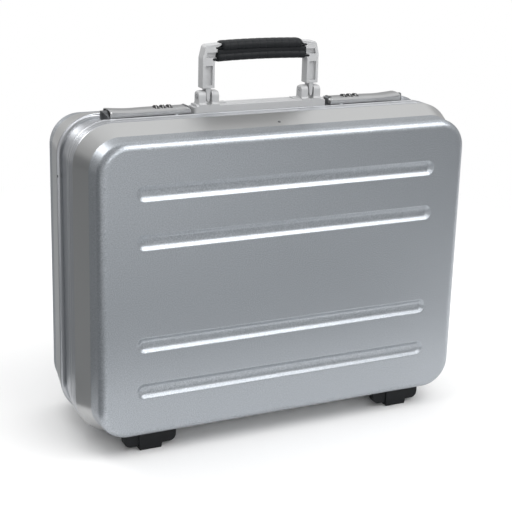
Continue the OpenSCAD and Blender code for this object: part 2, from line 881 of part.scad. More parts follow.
// Cross-section of the cover: straight sides under a round top, drawn smaller by a wall
module cover_section(wall) {
    rise = latch_apex - latch_side_h;
    half = latch_w / 2;
    round_r = (half * half + rise * rise) / (2 * rise);
    intersection() {
        translate([-half + wall, latch_base_z - 1]) square([latch_w - 2 * wall, 3 * latch_w]);
        union() {
            translate([0, top_z + latch_apex - round_r]) circle(round_r - wall);
            translate([-half, latch_base_z - 1])
                square([latch_w, latch_side_h - latch_gap + 1]);
        }
    }
}

// Side outline of the cover: flat over the dials, then a shallow dip that flares up to the end
module cover_outline(wall) {
    dip_x = latch_end_x - flare_len;
    dip_h = latch_h - 0.9;
    dip_r = flare_len * flare_len / (2 * (latch_flare_h - dip_h));
    difference() {
        union() {
            translate([latch_pivot_x, latch_base_z - 1])
                square([latch_end_x - latch_pivot_x + wall, latch_h - latch_gap + 1 - wall]);
            translate([dip_x, latch_base_z - 1])
                square([latch_end_x - dip_x + wall, latch_apex - latch_gap + 1]);
        }
        translate([dip_x, top_z + dip_h + dip_r]) circle(dip_r + wall, $fn = 360);
    }
}

module cover_solid(wall) {
    intersection() {
        rotate([90, 0, 0]) linear_extrude(2 * latch_w, center = true) cover_outline(wall);
        translate([latch_pivot_x - latch_w, 0, 0])
            rotate([90, 0, 90]) linear_extrude(latch_end_x) cover_section(wall);
    }
}

// Round inner end of the cover, about the pivot
module cover_end() {
    intersection() {
        translate([0, 0, latch_pivot_z])
            rotate([90, 0, 0])
                translate([latch_pivot_x, 0, -latch_w / 2 + 1])
                    cylinder(h = latch_w - 2, r = latch_end_r);
        translate([0, -latch_w, latch_base_z - 1]) cube([latch_pivot_x + latch_w, 2 * latch_w, latch_w]);
    }
}

module cross_hole(r, x, z, length) {
    translate([x, 0, z]) rotate([90, 0, 0]) cylinder(h = length, r = r, center = true);
}

module dial_places() {
    for (k = [-1:1])
        translate([dial_mid_x + k * dial_pitch, 0, dial_z]) children();
}

module latch_lever() {
    solid_len = 5;
    slot_half = dial_r - 0.2;
    color(LATCH_GREY)
        at_channel()
            difference() {
                union() {
                    difference() {
                        union() {
                            cover_solid(0);
                            cover_end();
                        }
                        intersection() {
                            cover_solid(latch_wall);
                            translate([latch_pivot_x + solid_len, -latch_w, 0])
                                cube([latch_end_x, 2 * latch_w, 2 * top_z]);
                        }
                    }
                    intersection() {
                        cover_solid(latch_wall / 2);
                        for (k = [-1.5:1.5])
                            translate([dial_mid_x + k * dial_pitch, 0, dial_z])
                                cube([rib_t, 2 * latch_w, 2 * latch_w], center = true);
                    }
                }
                translate([0, -latch_w, top_z - latch_w])
                    cube([2 * latch_end_x, 2 * latch_w, latch_w + latch_gap]);
                dial_places()
                    cube([dial_t + 2 * side_fit, 2 * slot_half, 4 * dial_r], center = true);
                translate([dial_mid_x, 0, dial_z])
                    rotate([0, 90, 0])
                        cylinder(h = 2 * shaft_half, r = dial_shaft_r + fixed_fit, center = true);
                cross_hole(latch_pin_r + running_fit, latch_pivot_x, latch_pivot_z, 2 * latch_w);
                cross_hole(lug_r + side_fit, latch_pivot_x, latch_pivot_z, lug_w + 2 * side_fit);
                translate([latch_pivot_x - 2 * latch_end_r, -lug_w / 2 - side_fit, top_z - 1])
                    cube([2 * latch_end_r, lug_w + 2 * side_fit, latch_pivot_h + lug_r + side_fit + 1]);
                translate([latch_pivot_x, -lug_w / 2 - side_fit, top_z - 1])
                    cube([solid_len + 1, lug_w + 2 * side_fit, latch_pivot_h + 1]);
            }
}

module latch_pin() {
    color(STEEL)
        at_channel() cross_hole(latch_pin_r, latch_pivot_x, latch_pivot_z, latch_w - 3);
}

// Base in the channel: a plate with the pivot lug at one end and a round stop at the other
module latch_base() {
    stop_r = base_plate_w / 2;
    stop_x = latch_end_x + stop_reach - stop_r;
    plate_start = base_half + 2;
    color(LATCH_GREY)
        at_channel()
            difference() {
                union() {
                    translate([plate_start, -stop_r, floor_z])
                        cube([stop_x - plate_start, base_plate_w, base_plate_t]);
                    intersection() {
                        translate([stop_x, 0, floor_z]) cylinder(h = latch_w, r = stop_r);
                        translate([latch_end_x - latch_w, 0, 0])
                            rotate([90, 0, 90]) linear_extrude(2 * latch_w) stop_section();
                    }
                    translate([latch_pivot_x - lug_r, -lug_w / 2, floor_z])
                        cube([2 * lug_r, lug_w, latch_pivot_z - floor_z]);
                    cross_hole(lug_r, latch_pivot_x, latch_pivot_z, lug_w);
                }
                cross_hole(latch_pin_r + fixed_fit, latch_pivot_x, latch_pivot_z, 2 * latch_w);
                translate([0, -channel_y, 0]) hook_window();
            }
}

// Cross-section of the stop, inside the hollow of the cover
module stop_section() {
    stop_r = base_plate_w / 2;
    stop_top = top_z + latch_h - latch_wall - stop_clear;
    intersection() {
        translate([0, stop_top - stop_r]) circle(stop_r);
        translate([-stop_r, floor_z]) square([2 * stop_r, 2 * stop_r]);
    }
}

// Window that the hook swings through, in the base plate and the channel floor
module hook_window() {
    window_clear = 0.8;
    translate([hook_x - window_clear, channel_y + hook_y - hook_w / 2 - window_clear, top_z - frame_section])
        cube([latch_pivot_x + hook_swing_r - hook_x + 2 * window_clear,
              hook_w + 2 * window_clear, 2 * frame_section]);
}

// Hook that hangs from the first rib of the cover and reaches under the catch
module latch_hook() {
    stem_top = top_z + latch_h - 2 * latch_wall;
    color(STEEL)
        at_channel()
            translate([0, hook_y + hook_w / 2, 0])
                rotate([90, 0, 0])
                    linear_extrude(hook_w) {
                        translate([hook_x, nose_top - nose_t]) square([hook_t, stem_top - nose_top + nose_t]);
                        polygon([[hook_x + eps, nose_top], [hook_x - nose_len, nose_top - nose_t / 2],
                                 [hook_x - nose_len, nose_top - nose_t], [hook_x + eps, nose_top - nose_t]]);
                    }
}

// Catch on the inside of the front frame, its tongue over the nose of the hook
module latch_catch() {
    catch_w = 13;
    seat_z = top_z - frame_section + 1.5;
    block_len = front_frame_w - 5;
    reach = channel_mid + hook_y + hook_w / 2;
    color(STEEL)
        translate([catch_end_x - catch_w, parting_y, catch_bottom]) {
            translate([0, -block_len - 1.5, 0]) cube([catch_w, block_len, seat_z - catch_bottom]);
            translate([0, -block_len - 1.5, 0]) cube([catch_w, block_len + 1.5 + reach, catch_t]);
        }
}

module dial_shaft() {
    color(STEEL)
        at_channel()
            translate([dial_mid_x - shaft_half, 0, dial_z])
                rotate([0, 90, 0]) cylinder(h = 2 * shaft_half, r = dial_shaft_r);
}

// Dial with a notch beside each of its ten numbers
module dial(k) {
    positions = 10;
    notch_r = 0.9;
    color(BLACK)
        at_channel()
            translate([dial_mid_x + k * dial_pitch, 0, dial_z])
                rotate([0, 90, 0])
                    difference() {
                        cylinder(h = dial_t, r = dial_r, center = true);
                        cylinder(h = 2 * dial_t, r = dial_shaft_r + running_fit, center = true);
                        for (n = [0:positions - 1])
                            rotate((n + 0.5) * 360 / positions)
                                translate([dial_r + notch_r / 2, 0, 0])
                                    cylinder(h = 2 * dial_t, r = notch_r, center = true, $fn = 24);
                    }
}

module left() {
    mirror([1, 0, 0]) children();
}

// ---------- Lid stays, drawn for the right side ----------

// Pivot and stud lie equally far from the hinge axis, so a stay turns by half the lid angle
stay_x = case_w / 2 - stay_inset;
stay_pivot = [-stay_pivot_y, sqrt(stay_r * stay_r - stay_pivot_y * stay_pivot_y)];
stay_stud = [stay_stud_y, sqrt(stay_r * stay_r - stay_stud_y * stay_stud_y)];
shut_angle = asin(stay_pivot_y / stay_r) + asin(stay_stud_y / stay_r);
shut_len = 2 * stay_r * sin(shut_angle / 2);
open_len = 2 * stay_r * sin((shut_angle + lid_angle) / 2);
stay_fit = 0.3;

module at_hinge_axis() {
    translate([0, parting_y, hinge_z]) children();
}

module stay_outline() {
    slot_half = stay_stud_r + stay_fit;
    difference() {
        union() {
            circle(stay_w / 2);
            translate([0, -stay_w / 2]) square([open_len, stay_w]);
            translate([open_len, 0]) circle(stay_w / 2);
        }
        circle(stay_stud_r + running_fit);
        translate([shut_len, -slot_half]) square([open_len - shut_len, 2 * slot_half]);
        for (u = [shut_len, open_len])
            translate([u, 0]) circle(slot_half);
    }
}

module stay_arm() {
    line = stay_stud - stay_pivot;
    color(STEEL)
        at_hinge_axis()
            translate([stay_x - stay_t, stay_pivot[0], stay_pivot[1]])
                rotate([90, 0, 90])
                    linear_extrude(stay_t) rotate(atan2(line[1], line[0])) stay_outline();
}

// Shouldered stud from the frame wall through the arm, with a flat head
module stay_post(place, wall_inset) {
    shoulder_r = stay_stud_r + 1.5;
    head_r = stay_stud_r + 2.5;
    head_t = 1;
    wall_x = case_w / 2 - wall_inset;
    color(STEEL)
        at_hinge_axis()
            translate([0, place[0], place[1]])
                rotate([0, 90, 0]) {
                    translate([0, 0, stay_x + stay_fit])
                        cylinder(h = wall_x - stay_x - stay_fit, r = shoulder_r);
                    translate([0, 0, stay_x - stay_t - stay_fit - head_t])
                        cylinder(h = stay_t + 2 * stay_fit + 2 * head_t, r = stay_stud_r);
                    translate([0, 0, stay_x - stay_t - stay_fit - head_t])
                        cylinder(h = head_t, r = head_r);
                }
}

module stay_pivot_post() {
    stay_post(stay_pivot, frame_section - 1.5);
}

module stay_stud_post() {
    stay_post(stay_stud, channel_d + frame_wall);
}

// ---------- Sub-parts ----------

front_shell();
back_shell();
front_frame();
back_frame();
frame_seal();
front_foot(-1);  // left_front_foot
front_foot(1);  // right_front_foot
back_foot(-1);  // left_back_foot
back_foot(1);  // right_back_foot
front_foot_screws();
back_foot_screws();
front_leaf(-1);  // left_hinge_front_leaf
back_leaf(-1);  // left_hinge_back_leaf
hinge_pin(-1);  // left_hinge_pin
front_leaf(1);  // right_hinge_front_leaf
back_leaf(1);  // right_hinge_back_leaf
hinge_pin(1);  // right_hinge_pin
left() stay_arm();  // left_stay_arm
left() stay_pivot_post();  // left_stay_pivot
left() stay_stud_post();  // left_stay_stud
stay_arm();  // right_stay_arm
stay_pivot_post();  // right_stay_pivot
stay_stud_post();  // right_stay_stud
handle_base();
handle_frame();
handle_grip();
handle_pin(-1);  // left_handle_pin
handle_pin(1);  // right_handle_pin
left() latch_base();  // left_latch_base
left() latch_lever();  // left_latch_lever
left() latch_pin();  // left_latch_pin
left() latch_hook();  // left_latch_hook
left() latch_catch();  // left_latch_catch
left() dial_shaft();  // left_dial_shaft
left() dial(1);  // left_dial_1
left() dial(0);  // left_dial_2
left() dial(-1);  // left_dial_3
latch_base();  // right_latch_base
latch_lever();  // right_latch_lever
latch_pin();  // right_latch_pin
latch_hook();  // right_latch_hook
latch_catch();  // right_latch_catch
dial_shaft();  // right_dial_shaft
dial(-1);  // right_dial_1
dial(0);  // right_dial_2
dial(1);  // right_dial_3
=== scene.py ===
# %% [markdown]
# # Hard tool case
# The case is built already as solids, and this notebook dresses it. Each step says what the piece
# or the finish is on a real case, how it could be made in Blender, and why it's made this way.

# %% Load the solids of the case
import json
import math

import bpy
from mathutils import Matrix, Vector


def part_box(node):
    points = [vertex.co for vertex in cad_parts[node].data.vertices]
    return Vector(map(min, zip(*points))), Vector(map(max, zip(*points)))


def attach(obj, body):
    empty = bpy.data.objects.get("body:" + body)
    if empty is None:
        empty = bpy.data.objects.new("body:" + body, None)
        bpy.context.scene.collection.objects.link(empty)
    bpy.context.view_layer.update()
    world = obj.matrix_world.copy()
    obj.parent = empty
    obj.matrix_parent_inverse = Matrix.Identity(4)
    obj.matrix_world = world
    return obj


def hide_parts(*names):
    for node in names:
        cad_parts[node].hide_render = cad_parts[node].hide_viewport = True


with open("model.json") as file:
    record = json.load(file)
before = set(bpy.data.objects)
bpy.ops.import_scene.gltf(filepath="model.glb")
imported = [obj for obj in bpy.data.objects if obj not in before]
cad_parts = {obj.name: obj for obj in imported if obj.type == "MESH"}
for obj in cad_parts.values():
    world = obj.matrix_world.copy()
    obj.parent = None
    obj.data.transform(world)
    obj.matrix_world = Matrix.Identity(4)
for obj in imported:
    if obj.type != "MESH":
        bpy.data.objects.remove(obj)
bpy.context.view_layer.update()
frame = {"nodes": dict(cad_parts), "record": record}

# %% [markdown]
# ## Sizes
# The pieces below replace solids of the same size, so they start from the boxes of the solids. The
# few sizes that a box can't tell, such as the radius of a corner, are written once here, in metres.

# %% Sizes of the case
shell_lo, shell_hi = [Vector(c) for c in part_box("back_frame")]
sheet_lo, sheet_hi = [Vector(c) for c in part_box("front_shell")]
SEAM_DEPTH = 0.015
PARTING_Y = sheet_hi.y + SEAM_DEPTH
FOOT_DROP = shell_lo.z
MID_Z = (shell_lo.z + shell_hi.z) / 2
TOP_Z = shell_hi.z
print("front face at y", round(sheet_lo.y, 4), "parting at y", round(PARTING_Y, 4))
print("frames from z", round(FOOT_DROP, 4), "to", round(TOP_Z, 4))

# %% [markdown]
# ## Camera
# A photographer stood to the left of the case and a little above it, with a long lens. The camera is
# turned by its right, up and view directions, because a case that stands square to the axes shows
# every degree. The lens has a plain sensor of 36 mm, so its focal length follows from the view.

# %% Camera
def direction_frame(azimuth, elevation, roll):
    """The camera's right, up and back directions, from three angles in degrees."""
    a, e, r = (math.radians(v) for v in (azimuth, elevation, roll))
    back = Vector((math.sin(a) * math.cos(e), -math.cos(a) * math.cos(e), math.sin(e)))
    right = (-back).cross(Vector((0, 0, 1))).normalized()
    up = back.cross(right)
    tilted_right = right * math.cos(r) - up * math.sin(r)
    tilted_up = right * math.sin(r) + up * math.cos(r)
    return Matrix((tilted_right, tilted_up, back)).transposed()


IMAGE_PX = 512
SENSOR = 36.0
FOCAL_PX = 1285.43
CENTRE_PX = (266.79, 239.40)
CAMERA_FROM_PARTING = Vector((-0.63028, -1.28533, 0.63375))
CAMERA_TURN = (-26.23, 16.80, -1.72)
camera_data = bpy.data.cameras.new("photo_camera")
camera = bpy.data.objects.new("photo_camera", camera_data)
bpy.context.scene.collection.objects.link(camera)
camera_data.sensor_width = SENSOR
camera_data.lens = SENSOR * FOCAL_PX / IMAGE_PX
camera_data.shift_x = (IMAGE_PX / 2 - CENTRE_PX[0]) / IMAGE_PX
camera_data.shift_y = (CENTRE_PX[1] - IMAGE_PX / 2) / IMAGE_PX
camera_data.clip_end = 20
turn = direction_frame(*CAMERA_TURN).to_4x4()
camera.matrix_world = Matrix.Translation(CAMERA_FROM_PARTING + Vector((0, PARTING_Y, FOOT_DROP))) @ turn
bpy.context.scene.camera = camera
print("lens", round(camera_data.lens, 1), "mm")

# %% [markdown]
# ## Hand tools
# The same few moves come back for every piece: a fresh primitive, a line drawn by extruding a
# point, a pick of vertices, a modifier that's applied at once. Each is one short function, so the
# cells below read as steps of the work. The tools take metres. Sections and outlines are typed in
# millimetres further down, and a small function for each place turns them into points in metres.

# %% Choose, start, pick and extrude
DOUBLES = 0.00001
SAME_POINT = 0.000001


def choose(piece):
    """Makes the piece the only one selected, and the active one. Object mode."""
    bpy.ops.object.select_all(action="DESELECT")
    piece.select_set(True)
    bpy.context.view_layer.objects.active = piece


def start_piece(name, primitive, **settings):
    """A new object from one primitive, open in edit mode with everything selected."""
    bpy.ops.object.select_all(action="DESELECT")
    primitive(**settings)
    piece = bpy.context.object
    piece.name = name
    bpy.ops.object.transform_apply(location=True, rotation=True, scale=True)
    bpy.ops.object.mode_set(mode="EDIT")
    bpy.ops.mesh.select_mode(type="VERT")
    bpy.ops.mesh.select_all(action="SELECT")
    return piece


def pick(piece, wanted):
    """Selects the vertices whose place passes the test wanted."""
    bpy.ops.mesh.select_mode(type="VERT")
    bpy.ops.mesh.select_all(action="DESELECT")
    bpy.ops.object.mode_set(mode="OBJECT")
    for vertex in piece.data.vertices:
        vertex.select = bool(wanted(vertex.co))
    bpy.ops.object.mode_set(mode="EDIT")


def pick_faces(piece, wanted):
    """Selects the faces whose centre and normal pass the test wanted."""
    bpy.ops.mesh.select_mode(type="FACE")
    bpy.ops.mesh.select_all(action="DESELECT")
    bpy.ops.object.mode_set(mode="OBJECT")
    for face in piece.data.polygons:
        face.select = bool(wanted(face.center, face.normal))
    bpy.ops.object.mode_set(mode="EDIT")


def extrude(move):
    """Extrudes what is selected by a move. Edit mode."""
    bpy.ops.mesh.extrude_region_move(TRANSFORM_OT_translate={"value": move})


def draw_line(name, points, closed=False):
    """A line through the points: one vertex, extruded from point to point."""
    piece = start_piece(name, bpy.ops.mesh.primitive_plane_add, size=0.001)
    bpy.ops.mesh.merge(type="CENTER")
    bpy.ops.transform.translate(value=points[0])
    for before, after in zip(points, points[1:]):
        extrude(after - before)
    if closed:
        ends = points[0], points[-1]
        pick(piece, lambda co: min((co - end).length for end in ends) < SAME_POINT)
        bpy.ops.mesh.edge_face_add()
    bpy.ops.mesh.select_all(action="SELECT")
    return piece


print("tools: choose, start, pick, extrude, line")


# %% Modifiers, mirrors and joins
MIRROR_MERGE = 0.00002


def apply_modifier(piece, kind, **settings):
    """Adds a modifier with these settings and applies it. Object mode."""
    choose(piece)
    bpy.ops.object.modifier_add(type=kind)
    modifier = piece.modifiers[-1]
    for key, value in settings.items():
        setattr(modifier, key, value)
    bpy.ops.object.modifier_apply(modifier=modifier.name)


def mirror_piece(piece, centre, axes):
    """Mirrors the piece about a plane through centre for each axis named."""
    bpy.ops.object.select_all(action="DESELECT")
    bpy.ops.object.empty_add(location=centre)
    plane = bpy.context.object
    apply_modifier(piece, "MIRROR", use_axis=["X" in axes, "Y" in axes, "Z" in axes],
                   mirror_object=plane, use_clip=True, merge_threshold=MIRROR_MERGE)
    bpy.data.objects.remove(plane)


def join_pieces(pieces):
    """Joins objects into the first one. Object mode."""
    bpy.ops.object.select_all(action="DESELECT")
    for piece in pieces:
        piece.select_set(True)
    bpy.context.view_layer.objects.active = pieces[0]
    bpy.ops.object.join()
    return pieces[0]


def cut(piece, cutter):
    """Cuts the piece with another, which is used up."""
    apply_modifier(piece, "BOOLEAN", operation="DIFFERENCE", object=cutter, solver="EXACT")
    bpy.data.objects.remove(cutter)


print("tools: modifier, mirror, join, cut")


# %% Faces that point outwards
def face_outwards():
    """Merges doubles and turns every face outwards. Edit mode."""
    bpy.ops.mesh.select_all(action="SELECT")
    bpy.ops.mesh.remove_doubles(threshold=DOUBLES)
    bpy.ops.mesh.normals_make_consistent(inside=False)


def flip_faces():
    """Turns every face of the active piece the other way. Object mode."""
    bpy.ops.object.mode_set(mode="EDIT")
    bpy.ops.mesh.select_all(action="SELECT")
    bpy.ops.mesh.flip_normals()
    bpy.ops.object.mode_set(mode="OBJECT")


def finish_piece(piece, material, body, stands_for, angle):
    """Shades the piece, gives it its finish, and lets it ride in place of the solids named."""
    choose(piece)
    room = sum(face.center.dot(face.normal) * face.area for face in piece.data.polygons)
    if room < 0:
        flip_faces()
    bpy.ops.object.shade_smooth_by_angle(angle=math.radians(angle))
    apply_modifier(piece, "WEIGHTED_NORMAL", keep_sharp=True)
    piece.data.materials.clear()
    piece.data.materials.append(material)
    for solid in stands_for:
        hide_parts(solid)
    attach(piece, body)
    print("piece:", piece.name, "faces", len(piece.data.polygons))


# %% Lines with round corners
CORNER_STEPS = 8


def round_corner(before, corner, after, radius):
    """Points of an arc that rounds a corner between its two neighbours."""
    to_before = (before - corner).normalized()
    to_after = (after - corner).normalized()
    half = to_before.angle(to_after) / 2
    centre = corner + (to_before + to_after).normalized() * radius / math.sin(half)
    first = (corner + to_before * radius / math.tan(half) - centre).normalized()
    last = (corner + to_after * radius / math.tan(half) - centre).normalized()
    return [centre + radius * first.slerp(last, k / CORNER_STEPS) for k in range(CORNER_STEPS + 1)]


def soft_line(points, radii):
    """The points with each inner corner rounded by its radius."""
    line = [points[0]]
    for before, corner, after, radius in zip(points, points[1:], points[2:], radii):
        line += round_corner(before, corner, after, radius)
    return line + [points[-1]]


print("tools: round corner, soft line with", CORNER_STEPS, "steps a corner")


# %% Skins, plates, blocks and softened copies
RIM_ANGLES = (0, 30, 60, 90)
SOLID_DOUBLES = 0.000005


def loft(name, rings, closed=True):
    """A skin over several sections: each is drawn as a line, and bridges join them in order."""
    lines = []
    for ring in rings:
        lines.append(draw_line(name, ring, closed))
        bpy.ops.object.mode_set(mode="OBJECT")
    piece = join_pieces(lines)
    bpy.ops.object.mode_set(mode="EDIT")
    bpy.ops.mesh.select_all(action="SELECT")
    bpy.ops.mesh.bridge_edge_loops()
    if closed:
        bpy.ops.mesh.select_all(action="SELECT")
        bpy.ops.mesh.fill_holes(sides=0)
    face_outwards()
    bpy.ops.object.mode_set(mode="OBJECT")
    return piece


def plate(name, outline, thickness, soft=0.0):
    """A flat outline, filled and pulled along Y by its thickness, with soft rims if asked."""
    piece = draw_line(name, outline, True)
    bpy.ops.mesh.edge_face_add()
    bpy.ops.transform.translate(value=(0, soft - thickness / 2, 0))
    extrude((0, thickness - 2 * soft, 0))
    face_outwards()
    if soft:
        middle = outline[0].y
        pick_faces(piece, lambda centre, normal: (
            abs(normal.y) > 0.9 and abs(centre.y - middle) > thickness / 4))
        for before, angle in zip(RIM_ANGLES, RIM_ANGLES[1:]):
            rise = math.sin(math.radians(angle)) - math.sin(math.radians(before))
            narrow = math.cos(math.radians(before)) - math.cos(math.radians(angle))
            bpy.ops.mesh.inset(thickness=soft * narrow, depth=soft * rise)
    bpy.ops.object.mode_set(mode="OBJECT")
    return piece


def block(name, low, high, round_off=0.0, segments=3):
    """A box between two corners, its edges rounded off."""
    middle = (low + high) / 2
    piece = start_piece(name, bpy.ops.mesh.primitive_cube_add, size=1, location=middle, scale=high - low)
    bpy.ops.object.mode_set(mode="OBJECT")
    if round_off:
        apply_modifier(piece, "BEVEL", width=round_off, segments=segments, limit_method="ANGLE")
    return piece


def soften(node, name, width, angle, segments):
    """A copy of a solid with its flats cleaned and its edges rounded a little."""
    choose(frame["nodes"][node])
    bpy.ops.object.duplicate()
    piece = bpy.context.object
    piece.parent = None
    piece.name = name
    for key in list(piece.keys()):
        if key.startswith("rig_"):
            del piece[key]
    bpy.ops.object.mode_set(mode="EDIT")
    bpy.ops.mesh.select_all(action="SELECT")
    bpy.ops.mesh.remove_doubles(threshold=SOLID_DOUBLES)
    bpy.ops.mesh.dissolve_limited(angle_limit=math.radians(1))
    bpy.ops.object.mode_set(mode="OBJECT")
    apply_modifier(piece, "BEVEL", width=width, segments=segments, limit_method="ANGLE",
                   angle_limit=math.radians(angle), harden_normals=False)
    return piece


print("tools: loft, plate, block, soften")

# %% [markdown]
# ## Floor and light
# The case stands on a white sweep in a soft studio. Near the case the floor is plain white card that
# takes the shadow, and further off it turns into an even white glow for the camera alone, so the
# picture ends in white and no horizon shows. Wide lamps light it: metal needs wide lamps, because
# it shows what stands round it more than it shows its own colour.

# %% A small language for shaders
class Value:
    """A socket of a material that can be used in sums, so a pattern reads as one line."""

    def __init__(self, finish, socket):
        self.finish = finish
        self.socket = socket

    def math(self, operation, *others):
        """A Math node on this pattern and the others."""
        node = self.finish.node("ShaderNodeMath", {"operation": operation}, {0: self})
        for place, other in enumerate(others, start=1):
            self.finish.feed(node.inputs[place], other)
        return Value(self.finish, node.outputs[0])

    def __add__(self, other):
        return self.math("ADD", other)

    def __sub__(self, other):
        return self.math("SUBTRACT", other)

    def __mul__(self, other):
        return self.math("MULTIPLY", other)

    def __radd__(self, other):
        return self.math("ADD", other)

    def __rsub__(self, other):
        node = self.finish.node("ShaderNodeMath", {"operation": "SUBTRACT"}, {0: other, 1: self})
        return Value(self.finish, node.outputs[0])

    def __rmul__(self, other):
        return self.math("MULTIPLY", other)

    def step(self, low, high):
        """0 under low and 1 over high, with a soft change between them."""
        node = self.finish.node(
            "ShaderNodeMapRange", {"interpolation_type": "SMOOTHSTEP"},
            {"Value": self, "From Min": low, "From Max": high})
        return Value(self.finish, node.outputs["Result"])


MIX_FIRST, MIX_SECOND, MIX_RESULT = 6, 7, 2    # the colour sockets of a Mix node


class Finish:
    """A material whose nodes are made by node() and joined by feed()."""

    def __init__(self, name):
        self.material = bpy.data.materials.new(name)
        self.material.use_nodes = True
        self.tree = self.material.node_tree
        self.tree.nodes.clear()
        self.output = self.tree.nodes.new("ShaderNodeOutputMaterial")
        print("finish:", name)

    def feed(self, socket, value):
        """Joins a pattern or an output to the socket, or sets its value."""
        if isinstance(value, Value):
            self.tree.links.new(value.socket, socket)
        elif isinstance(value, bpy.types.NodeSocket):
            self.tree.links.new(value, socket)
        elif socket.type == "RGBA":
            socket.default_value = (*value, 1.0)
        else:
            socket.default_value = value

    def node(self, kind, settings, sockets):
        """A node of a kind, with its settings first and then what its sockets get."""
        node = self.tree.nodes.new(kind)
        for name, value in settings.items():
            setattr(node, name, value)
        for name, value in sockets.items():
            self.feed(node.inputs[name], value)
        return node

    def place(self):
        """Object coordinates: metres in the frame of the case."""
        return self.node("ShaderNodeTexCoord", {}, {}).outputs["Object"]

    def axes(self):
        """The three object coordinates, each as a pattern."""
        parts = self.node("ShaderNodeSeparateXYZ", {}, {"Vector": self.place()}).outputs
        return [Value(self, part) for part in parts]

    def noise(self, scale, detail=2.0, roughness=0.5, vector=None):
        """Noise of this many waves to a metre."""
        node = self.node(
            "ShaderNodeTexNoise", {},
            {"Vector": vector or self.place(), "Scale": scale, "Detail": detail, "Roughness": roughness})
        return Value(self, node.outputs["Fac"])

    def stretched(self, sx, sy, sz):
        """Object coordinates scaled along each axis."""
        node = self.node("ShaderNodeMapping", {}, {"Vector": self.place(), "Scale": (sx, sy, sz)})
        return node.outputs["Vector"]

    def blend(self, factor, first, second):
        """Mix of two colours."""
        node = self.node("ShaderNodeMix", {"data_type": "RGBA"}, {"Factor": factor})
        self.feed(node.inputs[MIX_FIRST], first)
        self.feed(node.inputs[MIX_SECOND], second)
        return node.outputs[MIX_RESULT]

    def bump(self, height, strength, distance):
        """Small relief from a pattern."""
        node = self.node(
            "ShaderNodeBump", {}, {"Height": height, "Strength": strength, "Distance": distance})
        return node.outputs["Normal"]

    def surface(self, **sockets):
        """The one shader of a finish. Sockets are given by name, with _ for a space."""
        shader = self.node("ShaderNodeBsdfPrincipled", {}, {})
        for name, value in sockets.items():
            self.feed(shader.inputs[name.replace("_", " ")], value)
        return self.show(shader)

    def show(self, shader):
        """Joins a shader to the output of the material."""
        self.tree.links.new(shader.outputs[0], self.output.inputs["Surface"])
        return self.material


# %% Floor
WHITE = (1, 1, 1)
FLOOR_WHITE = (0.93, 0.93, 0.93)
FLOOR_SIZE = 16.0
GLOW_START = 0.55
GLOW_END = 1.1
floor_finish = Finish("studio_floor")
x, y, z = floor_finish.axes()
far = (x * x + y * y).math("SQRT").step(GLOW_START, GLOW_END)
card = floor_finish.node("ShaderNodeBsdfDiffuse", {}, {"Color": FLOOR_WHITE})
glow = floor_finish.node("ShaderNodeEmission", {}, {"Color": WHITE, "Strength": 1.0})
seen = floor_finish.node("ShaderNodeLightPath", {}, {})
seen_far = far * Value(floor_finish, seen.outputs["Is Camera Ray"])
floor_mix = floor_finish.node(
    "ShaderNodeMixShader", {}, {0: seen_far, 1: card.outputs[0], 2: glow.outputs[0]})

bpy.ops.object.select_all(action="DESELECT")
bpy.ops.mesh.primitive_plane_add(size=FLOOR_SIZE, location=(0, 0, 0))
floor = bpy.context.object
floor.name = "studio_floor"
floor.data.materials.append(floor_finish.show(floor_mix))
print("floor", FLOOR_SIZE, "m wide")

# %% [markdown]
# ## Soft light and grey cards
# Bare metal shows what stands round it. The room is a soft grey with large softboxes. Grey cards on
# the left, on the floor round the case and behind it give the metal something darker to show, as
# they do on a photographer's table. Only reflections see the cards, so they throw no shadow.

# %% World
SKY_STRENGTH = 0.50
world = bpy.data.worlds.new("studio")
bpy.context.scene.world = world
world.use_nodes = True
world_nodes = world.node_tree.nodes
sky = world_nodes["Background"]
sky.inputs["Color"].default_value = (*WHITE, 1)
sky.inputs["Strength"].default_value = SKY_STRENGTH
white = world_nodes.new("ShaderNodeBackground")
white.inputs["Color"].default_value = (*WHITE, 1)
white.inputs["Strength"].default_value = 1.0
ray = world_nodes.new("ShaderNodeLightPath")
choice = world_nodes.new("ShaderNodeMixShader")
world_links = world.node_tree.links
world_links.new(ray.outputs["Is Camera Ray"], choice.inputs[0])
world_links.new(sky.outputs[0], choice.inputs[1])
world_links.new(white.outputs[0], choice.inputs[2])
world_links.new(choice.outputs[0], world_nodes["World Output"].inputs["Surface"])
print("sky", SKY_STRENGTH, "and white for the camera")


# %% Lamps
def lamp(name, place, target, size, power):
    """A softbox that looks from its place to its target."""
    bpy.ops.object.select_all(action="DESELECT")
    bpy.ops.object.light_add(type="AREA", location=place)
    light = bpy.context.object
    light.name = name
    light.rotation_euler = (Vector(target) - Vector(place)).to_track_quat("-Z", "Y").to_euler()
    light.data.shape = "RECTANGLE"
    light.data.size, light.data.size_y = size
    light.data.energy = power
    return light


CASE_MIDDLE = (0, 0, 0.2)
top_lamp = lamp("top_softbox", (-0.3, 0.1, 1.9), CASE_MIDDLE, (1.6, 1.2), 12)
top_lamp.visible_glossy = False
lamp("back_softbox", (0.55, 1.1, 1.95), (0.2, 0, 0.2), (3.4, 1.8), 9.5)
lamp("key_softbox", (0.75, -1.05, 1.75), CASE_MIDDLE, (1.7, 1.2), 24)
lamp("rim_softbox", (-0.95, 1.6, 1.35), (-0.1, 0, 0.3), (0.8, 0.7), 8.5)
lamp("front_softbox", (-0.4, -2.3, 1.2), CASE_MIDDLE, (1.4, 0.8), 9)
bpy.context.scene.view_settings.view_transform = "Standard"

# %% Grey cards
FLAT = (0, 0, 0)
UPRIGHT = (0, math.radians(90), 0)
CARD_Z = 0.002


